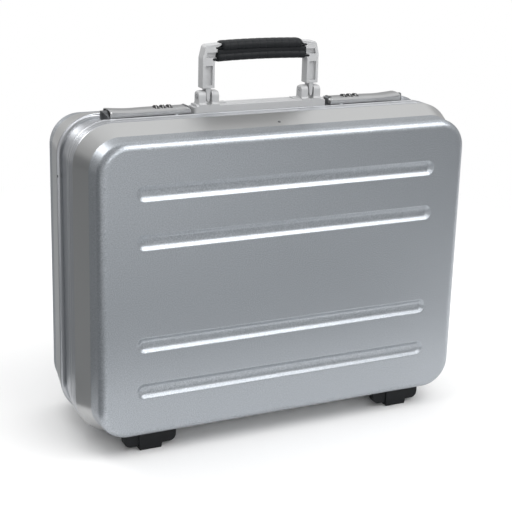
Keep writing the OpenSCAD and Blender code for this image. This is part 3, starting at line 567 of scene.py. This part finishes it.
def card_finish(name, shade):
    """Grey paint, a little darker and lighter in patches."""
    finish = Finish(name)
    grain = finish.noise(30)
    dark = (shade * 0.95, shade * 0.98, shade)
    light = (shade, shade * 1.03, shade * 1.06)
    return finish.surface(Base_Color=finish.blend(grain, dark, light), Roughness=0.9 + 0.05 * grain)


def grey_card(name, middle, turn, size, shade):
    """A flat card that only reflections see."""
    bpy.ops.object.select_all(action="DESELECT")
    bpy.ops.mesh.primitive_plane_add(size=1, location=middle, rotation=turn)
    card = bpy.context.object
    card.name = name
    card.scale = (size[0], size[1], 1)
    card.data.materials.append(card_finish(name + "_paint", shade))
    card.visible_camera = False
    card.visible_diffuse = False
    card.visible_shadow = False
    card.visible_transmission = False


grey_card("card_left_floor", (-1.30, 0.75, CARD_Z), FLAT, (2.0, 2.6), 0.19)
grey_card("card_left_wall", (-2.2, 0.9, 0.45), UPRIGHT, (0.9, 3.2), 0.18)
grey_card("card_right_floor", (2.05, -2.1, CARD_Z), FLAT, (3.1, 3.3), 0.26)
grey_card("card_front_strip", (-0.10, -0.60, CARD_Z), FLAT, (1.1, 0.60), 0.28)
grey_card("card_back_floor", (-0.10, 1.10, CARD_Z), FLAT, (0.4, 1.9), 0.38)

# %% [markdown]
# ## Silver paint on the pressed faces
# The faces are pressed aluminium sheet under a silver lacquer with metal flakes. Seen close, the
# flakes are a fine grain of lighter and darker specks, and they tilt a little, so the reflections
# are broad and soft. A noise as fine as a millimetre feeds the colour and the bump. The band between
# the creases of the two shells is smoother, and a mask on the depth finds it.

# %% Finish of the shells
FRONT_CREASE = (-0.0613, -0.0603)
BACK_CREASE = (0.0630, 0.0645)
shell_finish = Finish("pressed_silver")
flakes = shell_finish.noise(1000, 3.0, 0.75)
cloud = shell_finish.noise(9)
x, y, z = shell_finish.axes()
smooth_band = y.step(*FRONT_CREASE) * (1 - y.step(*BACK_CREASE))
lacquer = shell_finish.blend(flakes.step(0.33, 0.70), (0.295, 0.318, 0.344), (0.560, 0.588, 0.622))
satin = shell_finish.blend(cloud, (0.50, 0.505, 0.505), (0.55, 0.555, 0.555))
shell_material = shell_finish.surface(
    Base_Color=shell_finish.blend(smooth_band, lacquer, satin), Metallic=0.92,
    Roughness=0.36 + 0.04 * cloud - 0.07 * smooth_band,
    Normal=shell_finish.bump(flakes * (1 - smooth_band * 0.95), 0.22, 0.0003))

# %% [markdown]
# ## The other finishes
# Each of the remaining parts has a finish that tells what it's made of: drawn aluminium with fine
# lines along it, moulded plastic with a faint skin, soft rubber, and small steel parts. Each takes
# a noise of its own size, because one grain on every part would make the case look like a toy.

# %% Frames
ALONG, ACROSS = 0.6, 1500    # waves to a metre along the bars and across them
frame_finish = Finish("drawn_aluminium")
lines = frame_finish.noise(1.0, vector=frame_finish.stretched(ALONG, ACROSS, ALONG))
frame_material = frame_finish.surface(
    Base_Color=frame_finish.blend(lines.step(0.3, 0.7), (0.42, 0.44, 0.47), (0.57, 0.58, 0.60)),
    Metallic=1.0, Roughness=0.26 + 0.10 * lines,
    Normal=frame_finish.bump(lines, 0.05, 0.0002))

# %% Plastic of the handle
plastic_finish = Finish("grey_plastic")
skin = plastic_finish.noise(900, 3.0, 0.6)
plastic_material = plastic_finish.surface(
    Base_Color=plastic_finish.blend(
        plastic_finish.noise(14), (0.46, 0.465, 0.47), (0.50, 0.505, 0.515)),
    Roughness=0.36 + 0.1 * skin, Normal=plastic_finish.bump(skin, 0.12, 0.0002))

# %% Rubber of grip, feet and seal
def rubber(name, dark, light, rough):
    """Dull rubber with a fine grain and little shine."""
    finish = Finish(name)
    grain = finish.noise(1200, 3.0, 0.6)
    return finish.surface(
        Base_Color=finish.blend(finish.noise(60), dark, light),
        Roughness=rough + 0.12 * grain, Specular_IOR_Level=0.25, Normal=finish.bump(grain, 0.2, 0.0002))


grip_material = rubber("grip_rubber", (0.007, 0.008, 0.0095), (0.012, 0.0135, 0.0155), 0.50)
foot_material = rubber("foot_rubber", (0.006, 0.007, 0.008), (0.010, 0.011, 0.013), 0.50)
seal_material = rubber("seal_rubber", (0.02, 0.02, 0.021), (0.03, 0.03, 0.032), 0.6)


# %% Steel parts, latches and dials
def metal(name, dark, light, rough, metallic=1.0):
    """Metal between two shades with a fine grain."""
    finish = Finish(name)
    grain = finish.noise(700)
    return finish.surface(
        Base_Color=finish.blend(finish.noise(40), dark, light),
        Metallic=metallic, Roughness=rough + 0.08 * grain, Normal=finish.bump(grain, 0.06, 0.0002))


steel_material = metal("zinc_plated_steel", (0.50, 0.51, 0.52), (0.62, 0.63, 0.64), 0.28)
pin_material = metal("ground_steel", (0.55, 0.56, 0.57), (0.68, 0.69, 0.70), 0.2)
latch_material = metal("latch_grey", (0.43, 0.435, 0.44), (0.50, 0.505, 0.51), 0.26, 0.95)
# This dark finish also goes on the light grey rivet heads, where it paints in the shade round them.
dark_stop_and_rivet_shade_material = metal("stop_dark_and_rivet_shade", (0.10, 0.105, 0.11), (0.15, 0.155, 0.16), 0.38, 0.7)
dial_finish = Finish("dial_black")
dial_grain = dial_finish.noise(500)
dial_material = dial_finish.surface(
    Base_Color=dial_finish.blend(dial_grain, (0.008, 0.008, 0.009), (0.014, 0.014, 0.016)),
    Roughness=0.28 + 0.1 * dial_grain, Normal=dial_finish.bump(dial_grain, 0.1, 0.0001))

# %% [markdown]
# ## Sweep round the case
# Shells and frames share one outline, a rectangle with round corners. A quarter of it is enough: the
# section is drawn at the middle of the top, pulled to the corner, spun round it and pulled down to
# the middle of the side. Two mirrors make the rest, so all four corners are alike.

# %% Sweep of a section
CORNER_R = 45
CORNER_TURNS = 20
CORE_X = shell_hi.x - CORNER_R / 1000
CORE_Z = (TOP_Z - FOOT_DROP) / 2 - CORNER_R / 1000
FRONT, BACK = -1, 1


def section_point(side, inset, depth):
    """A point at the middle of the top, from its inset and depth in millimetres."""
    return Vector((0, PARTING_Y + side * depth / 1000, TOP_Z - inset / 1000))


def sweep(name, points, closed):
    """A section swept round the case: a quarter of the way, and then mirrored twice."""
    piece = draw_line(name, points, closed)
    extrude((CORE_X, 0, 0))
    corner = (CORE_X, 0, MID_Z + CORE_Z)
    bpy.ops.mesh.spin(steps=CORNER_TURNS, angle=math.radians(-90), center=corner, axis=(0, 1, 0))
    extrude((0, 0, -CORE_Z))
    bpy.ops.mesh.select_all(action="SELECT")
    bpy.ops.mesh.remove_doubles(threshold=DOUBLES)
    bpy.ops.object.mode_set(mode="OBJECT")
    mirror_piece(piece, (0, 0, MID_Z), "XZ")
    return piece


print("core of the outline", round(CORE_X, 4), round(CORE_Z, 4), "corner", CORNER_R, "mm")

# %% [markdown]
# ## Pressed shells
# A shell is one sheet of aluminium, pressed deep in a die. It leans in from the frame over a smooth
# band, turns at a soft crease into a steeper wall, and turns again into the flat face. Four grooves
# stiffen the face. The ring is swept; each groove starts as a disc stretched to a slot and is sunk
# by insets; a fill joins them, and only then does the sheet get its thickness.

# %% Grooves
GROOVE_HALF = 9.6
GROOVE_REACH = 183.0
GROOVE_ROWS = (-111.5, -58, 58, 111.5)
GROOVE_STEPS = ((0.35, 0.03), (0.35, 0.10), (0.35, 0.17), (0.45, 0.29), (2.3, 1.60),
                (0.9, 0.52), (0.9, 0.38), (1.0, 0.26), (1.0, 0.12), (1.0, 0.03))


def groove(face_y, side, row):
    """One groove, sunk from the flat of the face."""
    half = GROOVE_HALF / 1000
    left = half - GROOVE_REACH / 1000
    piece = start_piece(
        "groove", bpy.ops.mesh.primitive_circle_add, vertices=28, radius=half, fill_type="NGON",
        location=(left, face_y, MID_Z + row / 1000), rotation=(math.radians(90), 0, 0))
    pick(piece, lambda co: co.x > left + 0.0001)
    bpy.ops.transform.translate(value=(2 * GROOVE_REACH / 1000 - 2 * half, 0, 0))
    bpy.ops.mesh.select_mode(type="FACE")
    bpy.ops.object.mode_set(mode="OBJECT")
    if piece.data.polygons[0].normal.y * side < 0:
        flip_faces()
    bpy.ops.object.mode_set(mode="EDIT")
    bpy.ops.mesh.select_all(action="SELECT")
    for thickness, sink in GROOVE_STEPS:
        bpy.ops.mesh.inset(thickness=thickness / 1000, depth=-sink / 1000)
    bpy.ops.object.mode_set(mode="OBJECT")
    return piece


print("groove", round(sum(sink for thickness, sink in GROOVE_STEPS), 2), "mm deep")

# %% Shell pieces
SHEET = 0.0014
CREASE_R, EDGE_R = 5, 9.5
FILL_START, FILL_END = 24, 27
NEAR_FACE = 0.0005


def shell(name, side, seam, band, band_inset, draft, depth):
    """A pressed shell from its seam to its face: sizes in millimetres from the outline."""
    corners = [Vector(p) for p in ((0, seam + 0.6), (band_inset, seam + band),
                                   (band_inset + draft, depth), (FILL_START, depth))]
    lip = [Vector(p) for p in ((1.1, seam), (0.55, seam), (0.2, seam + 0.12), (0.03, seam + 0.35))]
    line = lip + soft_line(corners, (CREASE_R, EDGE_R)) + [Vector((FILL_END, depth))]
    ring = sweep(name, [section_point(side, inset, deep) for inset, deep in line], False)
    face_y = PARTING_Y + side * depth / 1000
    join_pieces([ring] + [groove(face_y, side, row) for row in GROOVE_ROWS])
    bpy.ops.object.mode_set(mode="EDIT")
    bpy.ops.mesh.select_mode(type="EDGE")
    bpy.ops.mesh.select_all(action="DESELECT")
    bpy.ops.mesh.select_non_manifold(extend=False, use_wire=False, use_boundary=True,
                                     use_multi_face=False, use_non_contiguous=False, use_verts=False)
    bpy.ops.object.mode_set(mode="OBJECT")
    for edge in ring.data.edges:
        middle = sum((ring.data.vertices[v].co for v in edge.vertices), Vector()) / 2
        if abs(middle.y - face_y) > NEAR_FACE:
            edge.select = False
    bpy.ops.object.mode_set(mode="EDIT")
    bpy.ops.mesh.fill(use_beauty=True)
    face_outwards()
    bpy.ops.object.mode_set(mode="OBJECT")
    largest = max(ring.data.polygons, key=lambda face: face.area)
    if largest.normal.y * side < -0.9:
        flip_faces()
    apply_modifier(ring, "SOLIDIFY", thickness=SHEET, offset=-1, use_even_offset=False)
    return ring


BAND, BAND_INSET = 25, 9.8
front_shell = shell("front_shell_sheet", FRONT, seam=15, band=BAND, band_inset=BAND_INSET,
                    draft=1.5, depth=68)
finish_piece(front_shell, shell_material, "front_half", ["front_shell"], 50)
back_shell = shell("back_shell_sheet", BACK, seam=41.5, band=44, band_inset=8.0,
                   draft=3.5, depth=110)
finish_piece(back_shell, shell_material, "back_half", ["back_shell"], 50)

# %% [markdown]
# ## Frames
# The two frames are drawn aluminium bars, bent round the case. The front one shows three fine
# lines, and the back one a wide channel with a concave side. A bar is one closed section swept
# round, so its lines run on through the corners as they do on a real bent bar.

# %% Front frame
LINE_SINK, LINE_HALF = 0.45, 0.4


def frame_bar(name, side, outer, inner):
    """A bar round the case from the outer and inner side of its section."""
    points = [section_point(side, inset, depth) for inset, depth in outer + inner]
    return sweep(name, points, True)


def fine_line(depth):
    """A fine line cut along a bar."""
    return [(0, depth - LINE_HALF - 0.15), (0.08, depth - LINE_HALF),
            (LINE_SINK, depth - 0.1), (LINE_SINK, depth + 0.1),
            (0.08, depth + LINE_HALF), (0, depth + LINE_HALF + 0.15)]


front_outer = [(2.4, 0.2), (0.7, 0.2), (0.25, 0.35), (0, 0.8)]
for line_depth in (5.2, 8.6, 11.2):
    front_outer += fine_line(line_depth)
front_outer += [(0, 14.0), (0.2, 14.45), (0.6, 14.6), (1.9, 14.7)]
front_inner = [(6.5, 12), (6.5, 0.2), (4.6, 0.2), (4.6, -2.7), (4.4, -3), (3.2, -3), (3, -2.7),
               (3, 0.2)]
front_bar = frame_bar("front_frame_bar", FRONT, front_outer, front_inner)
finish_piece(front_bar, frame_material, "front_half", ["front_frame"], 40)

# %% Back frame
QUARTER = [math.radians(degrees) for degrees in range(9, 91, 9)]
back_outer = [(0.6, 0.2), (0.2, 0.35), (0, 0.8), (0, 2.2), (0.35, 2.45), (0.35, 2.75), (0, 3.0),
              (0, 6.4), (0.15, 7.2), (0.5, 7.7)]
back_outer += [(0.5 + 3.5 * math.sin(a), 7.7 + 7.8 * (1 - math.cos(a))) for a in QUARTER]
back_outer += [(4, 24), (4, 34.5)]
back_outer += [(4 - 3.2 * (1 - math.cos(a)), 34.5 + 5.0 * math.sin(a)) for a in QUARTER]
back_outer += [(0.3, 39.7), (0, 40.0), (0, 40.7), (0.2, 41.1), (0.6, 41.2), (1.9, 41.2)]
back_inner = [(6, 40), (6, 14), (8, 12), (8, 0.2), (5.4, 0.2), (5.4, 5), (2.2, 5), (2.2, 0.2)]
back_bar = frame_bar("back_frame_bar", BACK, back_outer, back_inner)
finish_piece(back_bar, frame_material, "back_half", ["back_frame"], 40)

# %% [markdown]
# ## Handle frame
# The handle is a grey moulding: two legs whose tops lean in and reach over the grip with two short
# fingers. Deep panels on the front and the back keep the wall thin. One leg is an outline pulled to
# its depth, the panels are cut with a block and a plate, and the other leg is its mirror image. A
# slim tongue at each foot turns between the ears of the handle base.

# %% Handle frame piece
base_lo, base_hi = [Vector(c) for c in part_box("handle_base")]
CHANNEL_Y = (base_lo.y + base_hi.y) / 2


def on_top(x, y, z):
    """A place from the middle of the channel and the top of the frames, in millimetres."""
    return Vector((x / 1000, CHANNEL_Y + y / 1000, TOP_Z + z / 1000))


LEG_SCALE, LEG_SEAT, LEG_SQUEEZE = 1.007, 1.0, 0.9
LEG_FOOT, LEG_HEIGHT = 25.5, 50
LEG_DEPTH, LEG_SOFT = 0.0135, 0.0006
PANEL_FLOOR, PANEL_OUT = 3.4, 10
PANEL_DEEP = 0.0066
TONGUE_DEPTH, TONGUE_SOFT = 0.0108, 0.0009


def on_leg(x, z, y=0):
    """A place on the handle frame, which is a little wide and low at the top."""
    low = LEG_SEAT + LEG_SQUEEZE * (z - LEG_FOOT) / LEG_HEIGHT
    return on_top(x * LEG_SCALE, y, z - low)


leg_side = soft_line([on_leg(48.6, 75.9), on_leg(68.6, 74.4), on_leg(72, 60), on_leg(72, LEG_FOOT)],
                     (0.0045, 0.014))
leg_inner = [on_leg(x, z) for x, z in (
    (57.4, 25.5), (57.4, 54.4), (57.0, 55.6), (56.4, 56.6), (58.9, 56.7), (59.8, 57.3), (60.1, 58.0),
    (59.8, 58.7), (58.9, 59.3), (55.4, 59.5), (51.6, 61.2), (51.6, 67.6), (53.0, 69.2), (55.4, 69.7),
    (56.3, 70.2), (56.6, 70.9), (56.3, 71.6), (55.4, 72.1), (53.4, 72.2), (51.8, 72.8), (50.0, 74.2),
    (48.4, 75.4))]
leg = plate("handle_frame_moulding", leg_inner + leg_side, LEG_DEPTH, LEG_SOFT)
for face in (FRONT, BACK):
    low_y, high_y = sorted((face * PANEL_OUT, face * PANEL_FLOOR))
    middle_y = (low_y + high_y) / 2
    lower = block("leg_panel", on_leg(60.2, 28.7, low_y), on_leg(68.6, 51.2, high_y), LEG_SOFT, 2)
    upper = plate("bend_panel", [on_leg(x, z, middle_y) for x, z in (
        (40, 60.0), (40, 66.2), (66.6, 66.2), (68.1, 60.0))], PANEL_DEEP)
    cut(leg, lower)
    cut(leg, upper)
tongue = plate("tongue", [on_leg(x, z) for x, z in (
    (67.7, 26), (67.2, 22), (66.4, 13), (65.9, 10.8), (65.2, 9.9), (64.3, 9.6), (63.4, 9.9),
    (62.7, 10.8), (62.2, 13), (61.4, 22), (60.9, 26))], TONGUE_DEPTH, TONGUE_SOFT)
core = block("core", on_leg(-1, 59, -4.5), on_leg(54, 66, 4.5))
join_pieces([leg, tongue, core])
mirror_piece(leg, (0, 0, 0), "X")
finish_piece(leg, plastic_material, "handle", ["handle_frame"], 35)

# %% [markdown]
# ## Grip
# Two soft rubber pads run along the handle with a flat band between them. Each is cut across into
# short segments, so the hand doesn't slip. A pad is a lofted skin that follows the arch: its section
# is drawn a little smaller at every cut and smaller still at its round ends. Small tabs at both
# ends sit in the notches of the legs.

# %% Grip piece
GRIP_TOP = 77.4
GRIP_DEEP = 11.5
ARCH_R = 1290.0
SEGMENTS = 11
SECTION_POINTS = 20
SPLAY = 0.02
CUT_HALF, CUT_EDGE = 0.25, 0.8
TAB_HALF, TAB_SOFT = 6.9, 0.0008


def pad_section(x, middle, half_high, half_deep, scale, power=2.6):
    """Rounded section of a pad at a place along the arch, as a ring of points."""
    lean = x / ARCH_R
    drop = ARCH_R * (1 - math.cos(lean))
    ring = []
    for k in range(SECTION_POINTS):
        a = math.tau * k / SECTION_POINTS
        c, s = math.cos(a), math.sin(a)
        deep = half_deep * scale * math.copysign(abs(c) ** (2 / power), c)
        high = half_high * scale * math.copysign(abs(s) ** (2 / power), s)
        height = GRIP_TOP - GRIP_DEEP - drop + middle + high
        ring.append(on_top(x - (middle + high) * lean * SPLAY, deep, height))
    return ring


def pad(name, middle, half_high, half_deep, reach, pinch):
    """A pad along the arch, with segments and round ends."""
    pitch = 2 * reach / SEGMENTS
    stations = [(-reach, 0.55), (-reach + 0.5, 0.80), (-reach + 1.4, 0.93), (-reach + 2.8, 0.99)]
    for k in range(SEGMENTS):
        start = -reach + k * pitch
        if k:
            stations += [(start - CUT_HALF, 1 - pinch), (start + CUT_HALF, 1 - pinch),
                         (start + CUT_EDGE, 1 - pinch * 0.25)]
        stations += [(start + pitch * 0.35, 1.0), (start + pitch * 0.65, 1.0)]
        if k < SEGMENTS - 1:
            stations += [(start + pitch - CUT_EDGE, 1 - pinch * 0.25)]
    stations += [(reach - 2.8, 0.99), (reach - 1.4, 0.93), (reach - 0.5, 0.80), (reach, 0.55)]
    stations.sort()
    return loft(name, [pad_section(x, middle, half_high, half_deep, scale) for x, scale in stations])


upper_pad = pad("grip_rubber_pads", middle=5.7, half_high=5.8, half_deep=10.4, reach=50.4, pinch=0.05)
lower_pad = pad("lower_pad", middle=-6.0, half_high=5.4, half_deep=10.2, reach=56.0, pinch=0.045)
waist = loft("waist", [pad_section(x, middle=-0.4, half_high=3.2, half_deep=8.3, scale=1.0, power=6)
                       for x in range(-55, 56, 5)])
tabs = []
for side in (-1, 1):
    for inner, tip, low, high in ((47, 56.4, 68.0, 70.2), (52, 60.0, 55.2, 57.8)):
        x0, x1 = sorted((side * inner, side * tip))
        tabs.append(block("tab", on_top(x0, -TAB_HALF, low), on_top(x1, TAB_HALF, high), TAB_SOFT))
grip = join_pieces([upper_pad, lower_pad, waist] + tabs)
finish_piece(grip, grip_material, "handle", ["handle_grip"], 60)

# %% [markdown]
# ## Latch covers
# A latch cover is a pressed shell over the channel: straight sides, a grey crowned top, a dip and a
# flare at the free end for a thumb. Its section changes along its length, so it's lofted from
# one section to the next, given its wall, and cut for the three dials. The left one is a mirror.

# %% Latch cover pieces
SLOT_HALF, SLOT_FRONT, SLOT_BACK = 2.8, -7.6, 4.6
COVER_EDGE = 0.00025
COVER_START, COVER_END = 88.0, 182.3
COVER_HALF = 12.3
COVER_TOP, COVER_SHOULDER, COVER_FOOT = 6.1, 3.3, -0.9
COVER_WALL = 0.0012
FLARE_X = 150
DIP_X, DIP_SPREAD = 158, 14
CROWN_STEPS = 12
DIAL_X, DIAL_PITCH = 118.2, 7.8


def cover_profile(x):
    """Heights of the lower edge, the shoulder and the top, in millimetres above the frames."""
    flare = max(0.0, (x - FLARE_X) / (COVER_END - FLARE_X))
    dip = math.exp(-((x - DIP_X) / DIP_SPREAD) ** 2)
    top = COVER_TOP - 0.5 * dip + 1.4 * flare ** 2
    shoulder = COVER_SHOULDER - 0.2 * dip + 1.7 * flare ** 1.6
    foot = COVER_FOOT - 0.4 * flare
    return foot, shoulder, top


def cover_ring(x, squeeze):
    """The section of the cover at x: straight sides and a crowned top."""
    foot, shoulder, top = cover_profile(x)
    shoulder, top = foot + (shoulder - foot) * squeeze, foot + (top - foot) * squeeze
    waist_line = (foot + shoulder) / 2
    points = [(-COVER_HALF, foot), (-COVER_HALF, waist_line), (-COVER_HALF, shoulder)]
    for k in range(1, CROWN_STEPS):
        y = -COVER_HALF + 2 * COVER_HALF * k / CROWN_STEPS
        t = abs(y) / COVER_HALF
        points.append((y, shoulder + (top - shoulder) * (1 - t ** 2.6) ** 0.72))
    points += [(COVER_HALF, shoulder), (COVER_HALF, waist_line), (COVER_HALF, foot)]
    return [on_top(x, y, z) for y, z in points]


def latch_cover(name):
    """One cover: lofted, closed at the pin, given its wall and cut for the dials."""
    stations = [(COVER_START, 0.62), (COVER_START + 0.5, 0.78), (COVER_START + 1.5, 0.92),
                (COVER_START + 3.0, 0.985), (COVER_START + 4.5, 1.0)]
    stations += [(x, 1.0) for x in range(98, FLARE_X, 10)]
    stations += [(FLARE_X + 2.5 * k, 1.0) for k in range(12)]
    stations += [(COVER_END - 0.8, 1.0), (COVER_END, 0.97)]
    cover = loft(name, [cover_ring(x, squeeze) for x, squeeze in stations], closed=False)
    bpy.ops.object.mode_set(mode="EDIT")
    pick(cover, lambda co: co.x * 1000 < COVER_START + 0.1)
    bpy.ops.mesh.edge_face_add()
    face_outwards()
    bpy.ops.object.mode_set(mode="OBJECT")
    highest = max(cover.data.polygons, key=lambda face: face.center.z)
    if highest.normal.z < 0:
        flip_faces()
    apply_modifier(cover, "SOLIDIFY", thickness=COVER_WALL, offset=-1)
    for k in (-1, 0, 1):
        x = DIAL_X + k * DIAL_PITCH
        low, high = on_top(x - SLOT_HALF, SLOT_FRONT, 2), on_top(x + SLOT_HALF, SLOT_BACK, 20)
        cut(cover, block("slot", low, high, 0.0006, 2))
    apply_modifier(cover, "BEVEL", width=COVER_EDGE, segments=2, limit_method="ANGLE",
                   angle_limit=math.radians(50))
    return cover


def mirrored(piece, name):
    """A mirror image of the piece on the other side of the case."""
    choose(piece)
    bpy.ops.object.duplicate()
    other = bpy.context.object
    other.name = name
    bpy.ops.transform.mirror(constraint_axis=(True, False, False), center_override=(0, 0, 0))
    bpy.ops.object.transform_apply(location=True, rotation=True, scale=True)
    bpy.ops.object.mode_set(mode="EDIT")
    face_outwards()
    bpy.ops.object.mode_set(mode="OBJECT")
    return other


right_cover = latch_cover("right_latch_cover")
left_cover = mirrored(right_cover, "left_latch_cover")
finish_piece(right_cover, latch_material, "right_latch", ["right_latch_lever"], 40)
finish_piece(left_cover, latch_material, "left_latch", ["left_latch_lever"], 40)

# %% [markdown]
# ## Dials and their numbers
# A dial is a black wheel with ten flats and a notch between each pair, so a thumb can turn it. Each
# flat carries a number in white. A number is set as text, made a mesh, and turned to its own place.

# %% Finish of the numbers
number_finish = Finish("number_white")
number_grain = number_finish.noise(900)
number_material = number_finish.surface(
    Base_Color=number_finish.blend(number_grain, (0.80, 0.80, 0.79), (0.88, 0.88, 0.87)),
    Roughness=0.45 + 0.1 * number_grain, Normal=number_finish.bump(number_grain, 0.05, 0.0001))

# %% Dial wheels and rings of numbers
DIAL_R, NOTCH_R, DIAL_HALF = 4.2, 3.7, 2.3
DIAL_SOFT = 0.35
NUMBERS = 10
NUMBER_SIZE, NUMBER_THICK = 0.0036, 0.00006
FLAT_AND_NOTCH = ((0.0, DIAL_R), (0.37, DIAL_R), (0.45, NOTCH_R), (0.55, NOTCH_R), (0.63, DIAL_R))


def wheel_ring(middle, x, scale):
    """One outline of a dial: wide flats with a narrow notch between them."""
    ring = []
    for k in range(NUMBERS):
        for part, radius in FLAT_AND_NOTCH:
            a = math.tau * (k + part) / NUMBERS
            r = radius * scale / 1000
            ring.append(middle + Vector((x / 1000, -r * math.sin(a), r * math.cos(a))))
    return ring


def digit_mesh(number, middle):
    """A number as a thin mesh, turned to its own flat of a dial."""
    bpy.ops.object.select_all(action="DESELECT")
    bpy.ops.object.text_add()
    text = bpy.context.object
    text.data.body = str(number)
    text.data.size = NUMBER_SIZE
    text.data.align_x = "CENTER"
    text.data.align_y = "CENTER"
    text.data.extrude = NUMBER_THICK
    text.data.resolution_u = 3
    bpy.ops.object.convert(target="MESH")
    digit = bpy.context.object
    turn = Matrix.Rotation(math.tau * number / NUMBERS, 4, "X")
    lift = Matrix.Translation((0, 0, DIAL_R / 1000))
    digit.data.transform(Matrix.Translation(middle) @ turn @ lift)
    return digit


for side_name in ("left", "right"):
    for dial in (1, 2, 3):
        node = f"{side_name}_dial_{dial}"
        low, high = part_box(node)
        middle = (low + high) / 2
        wheel = loft(node + "_wheel", [wheel_ring(middle, x, scale) for x, scale in (
            (-DIAL_HALF, 0.9), (-DIAL_HALF + DIAL_SOFT, 1.0),
            (DIAL_HALF - DIAL_SOFT, 1.0), (DIAL_HALF, 0.9))])
        finish_piece(wheel, dial_material, f"{node}_body", [node], 30)
        ring = join_pieces([digit_mesh(number, middle) for number in range(NUMBERS)])
        ring.name = f"{node}_numbers"
        ring.data.materials.clear()
        ring.data.materials.append(number_material)
        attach(ring, f"{node}_body")
print("dials numbered")

# %% [markdown]
# ## Parts with rounded edges
# No real part has a knife edge. The handle base, the feet and the latch bases keep the form of
# their solids and get a fine round along every edge, which is what catches the light.

# %% Softened pieces
FOOT_SOFT, BASE_SOFT, STOP_SOFT = 0.0006, 0.0004, 0.0010
for half in ("front", "back"):
    for side_name in ("left", "right"):
        node = f"{side_name}_{half}_foot"
        foot = soften(node, node + "_rubber", FOOT_SOFT, angle=40, segments=2)
        finish_piece(foot, foot_material, f"{half}_half", [node], 35)
base = soften("handle_base", "handle_base_moulding", BASE_SOFT, angle=45, segments=2)
finish_piece(base, plastic_material, "back_half", ["handle_base"], 35)
for side_name in ("left", "right"):
    node = f"{side_name}_latch_base"
    casting = soften(node, node + "_casting", STOP_SOFT, angle=45, segments=3)
    finish_piece(casting, dark_stop_and_rivet_shade_material, "back_half", [node], 35)

# %% [markdown]
# ## Rivets
# Two small rivets show on the outside: one on the side of the back frame at the left, one on the
# band of the front shell at the top. A rivet's head is a low dome: a ball pressed flat and turned to
# the face it sits on. The heads are light grey, but they take the dark finish of the latch stops,
# which paints in the shade that lies round them.

# %% Rivet pieces
RIVET_R = 0.0018


def rivet(name, place, axis, height, body):
    """A low dome at a place, turned to its axis."""
    turn = Vector((0, 0, 1)).rotation_difference(axis).to_euler()
    dome = start_piece(
        name, bpy.ops.mesh.primitive_uv_sphere_add, segments=20, ring_count=10, radius=1,
        location=place, rotation=turn, scale=(RIVET_R, RIVET_R, height))
    bpy.ops.object.mode_set(mode="OBJECT")
    # The head is light grey; its dark finish paints in the shade that lies round it.
    finish_piece(dome, dark_stop_and_rivet_shade_material, body, [], 60)


band_lean = math.atan2(BAND_INSET, BAND)
band_axis = Vector((0, -math.sin(band_lean), math.cos(band_lean)))
band_place = Vector((-0.002, PARTING_Y - 0.0325, TOP_Z - 0.0069))
rivet("top_band_rivet", band_place, band_axis, 0.0007, "front_half")
lip_place = Vector((-0.2344, PARTING_Y + 0.0405, FOOT_DROP + 0.287))
rivet("lip_rivet", lip_place, Vector((-1, 0, 0)), 0.0006, "back_half")

# %% [markdown]
# ## Finishes of the solids
# The pieces that stay as they were built, such as screws, hinges, stays, pins and the seal, take a
# finish too. The record names a material slot for each of them, and a slot is one finish, so that
# the parts of one material look alike on the whole case.

# %% Give the solids their finishes
FINISH_OF_SLOT = {
    "shell_aluminium": shell_material, "frame_aluminium": frame_material, "seal_rubber": seal_material,
    "foot_rubber": foot_material, "screw_steel": steel_material, "hinge_steel": steel_material,
    "stay_steel": steel_material, "handle_plastic": plastic_material, "grip_rubber": grip_material,
    "pin_steel": pin_material, "latch_metal": latch_material, "hook_steel": steel_material,
    "dial_plastic": dial_material}
slot_of = {part["node"]: part["material_slot"] for part in frame["record"]["subparts"]}
for name, solid in frame["nodes"].items():
    material = FINISH_OF_SLOT[slot_of[name]]
    if not solid.material_slots:
        solid.data.materials.append(material)
    for place in solid.material_slots:
        place.material = material
print("solids finished:", len(slot_of))
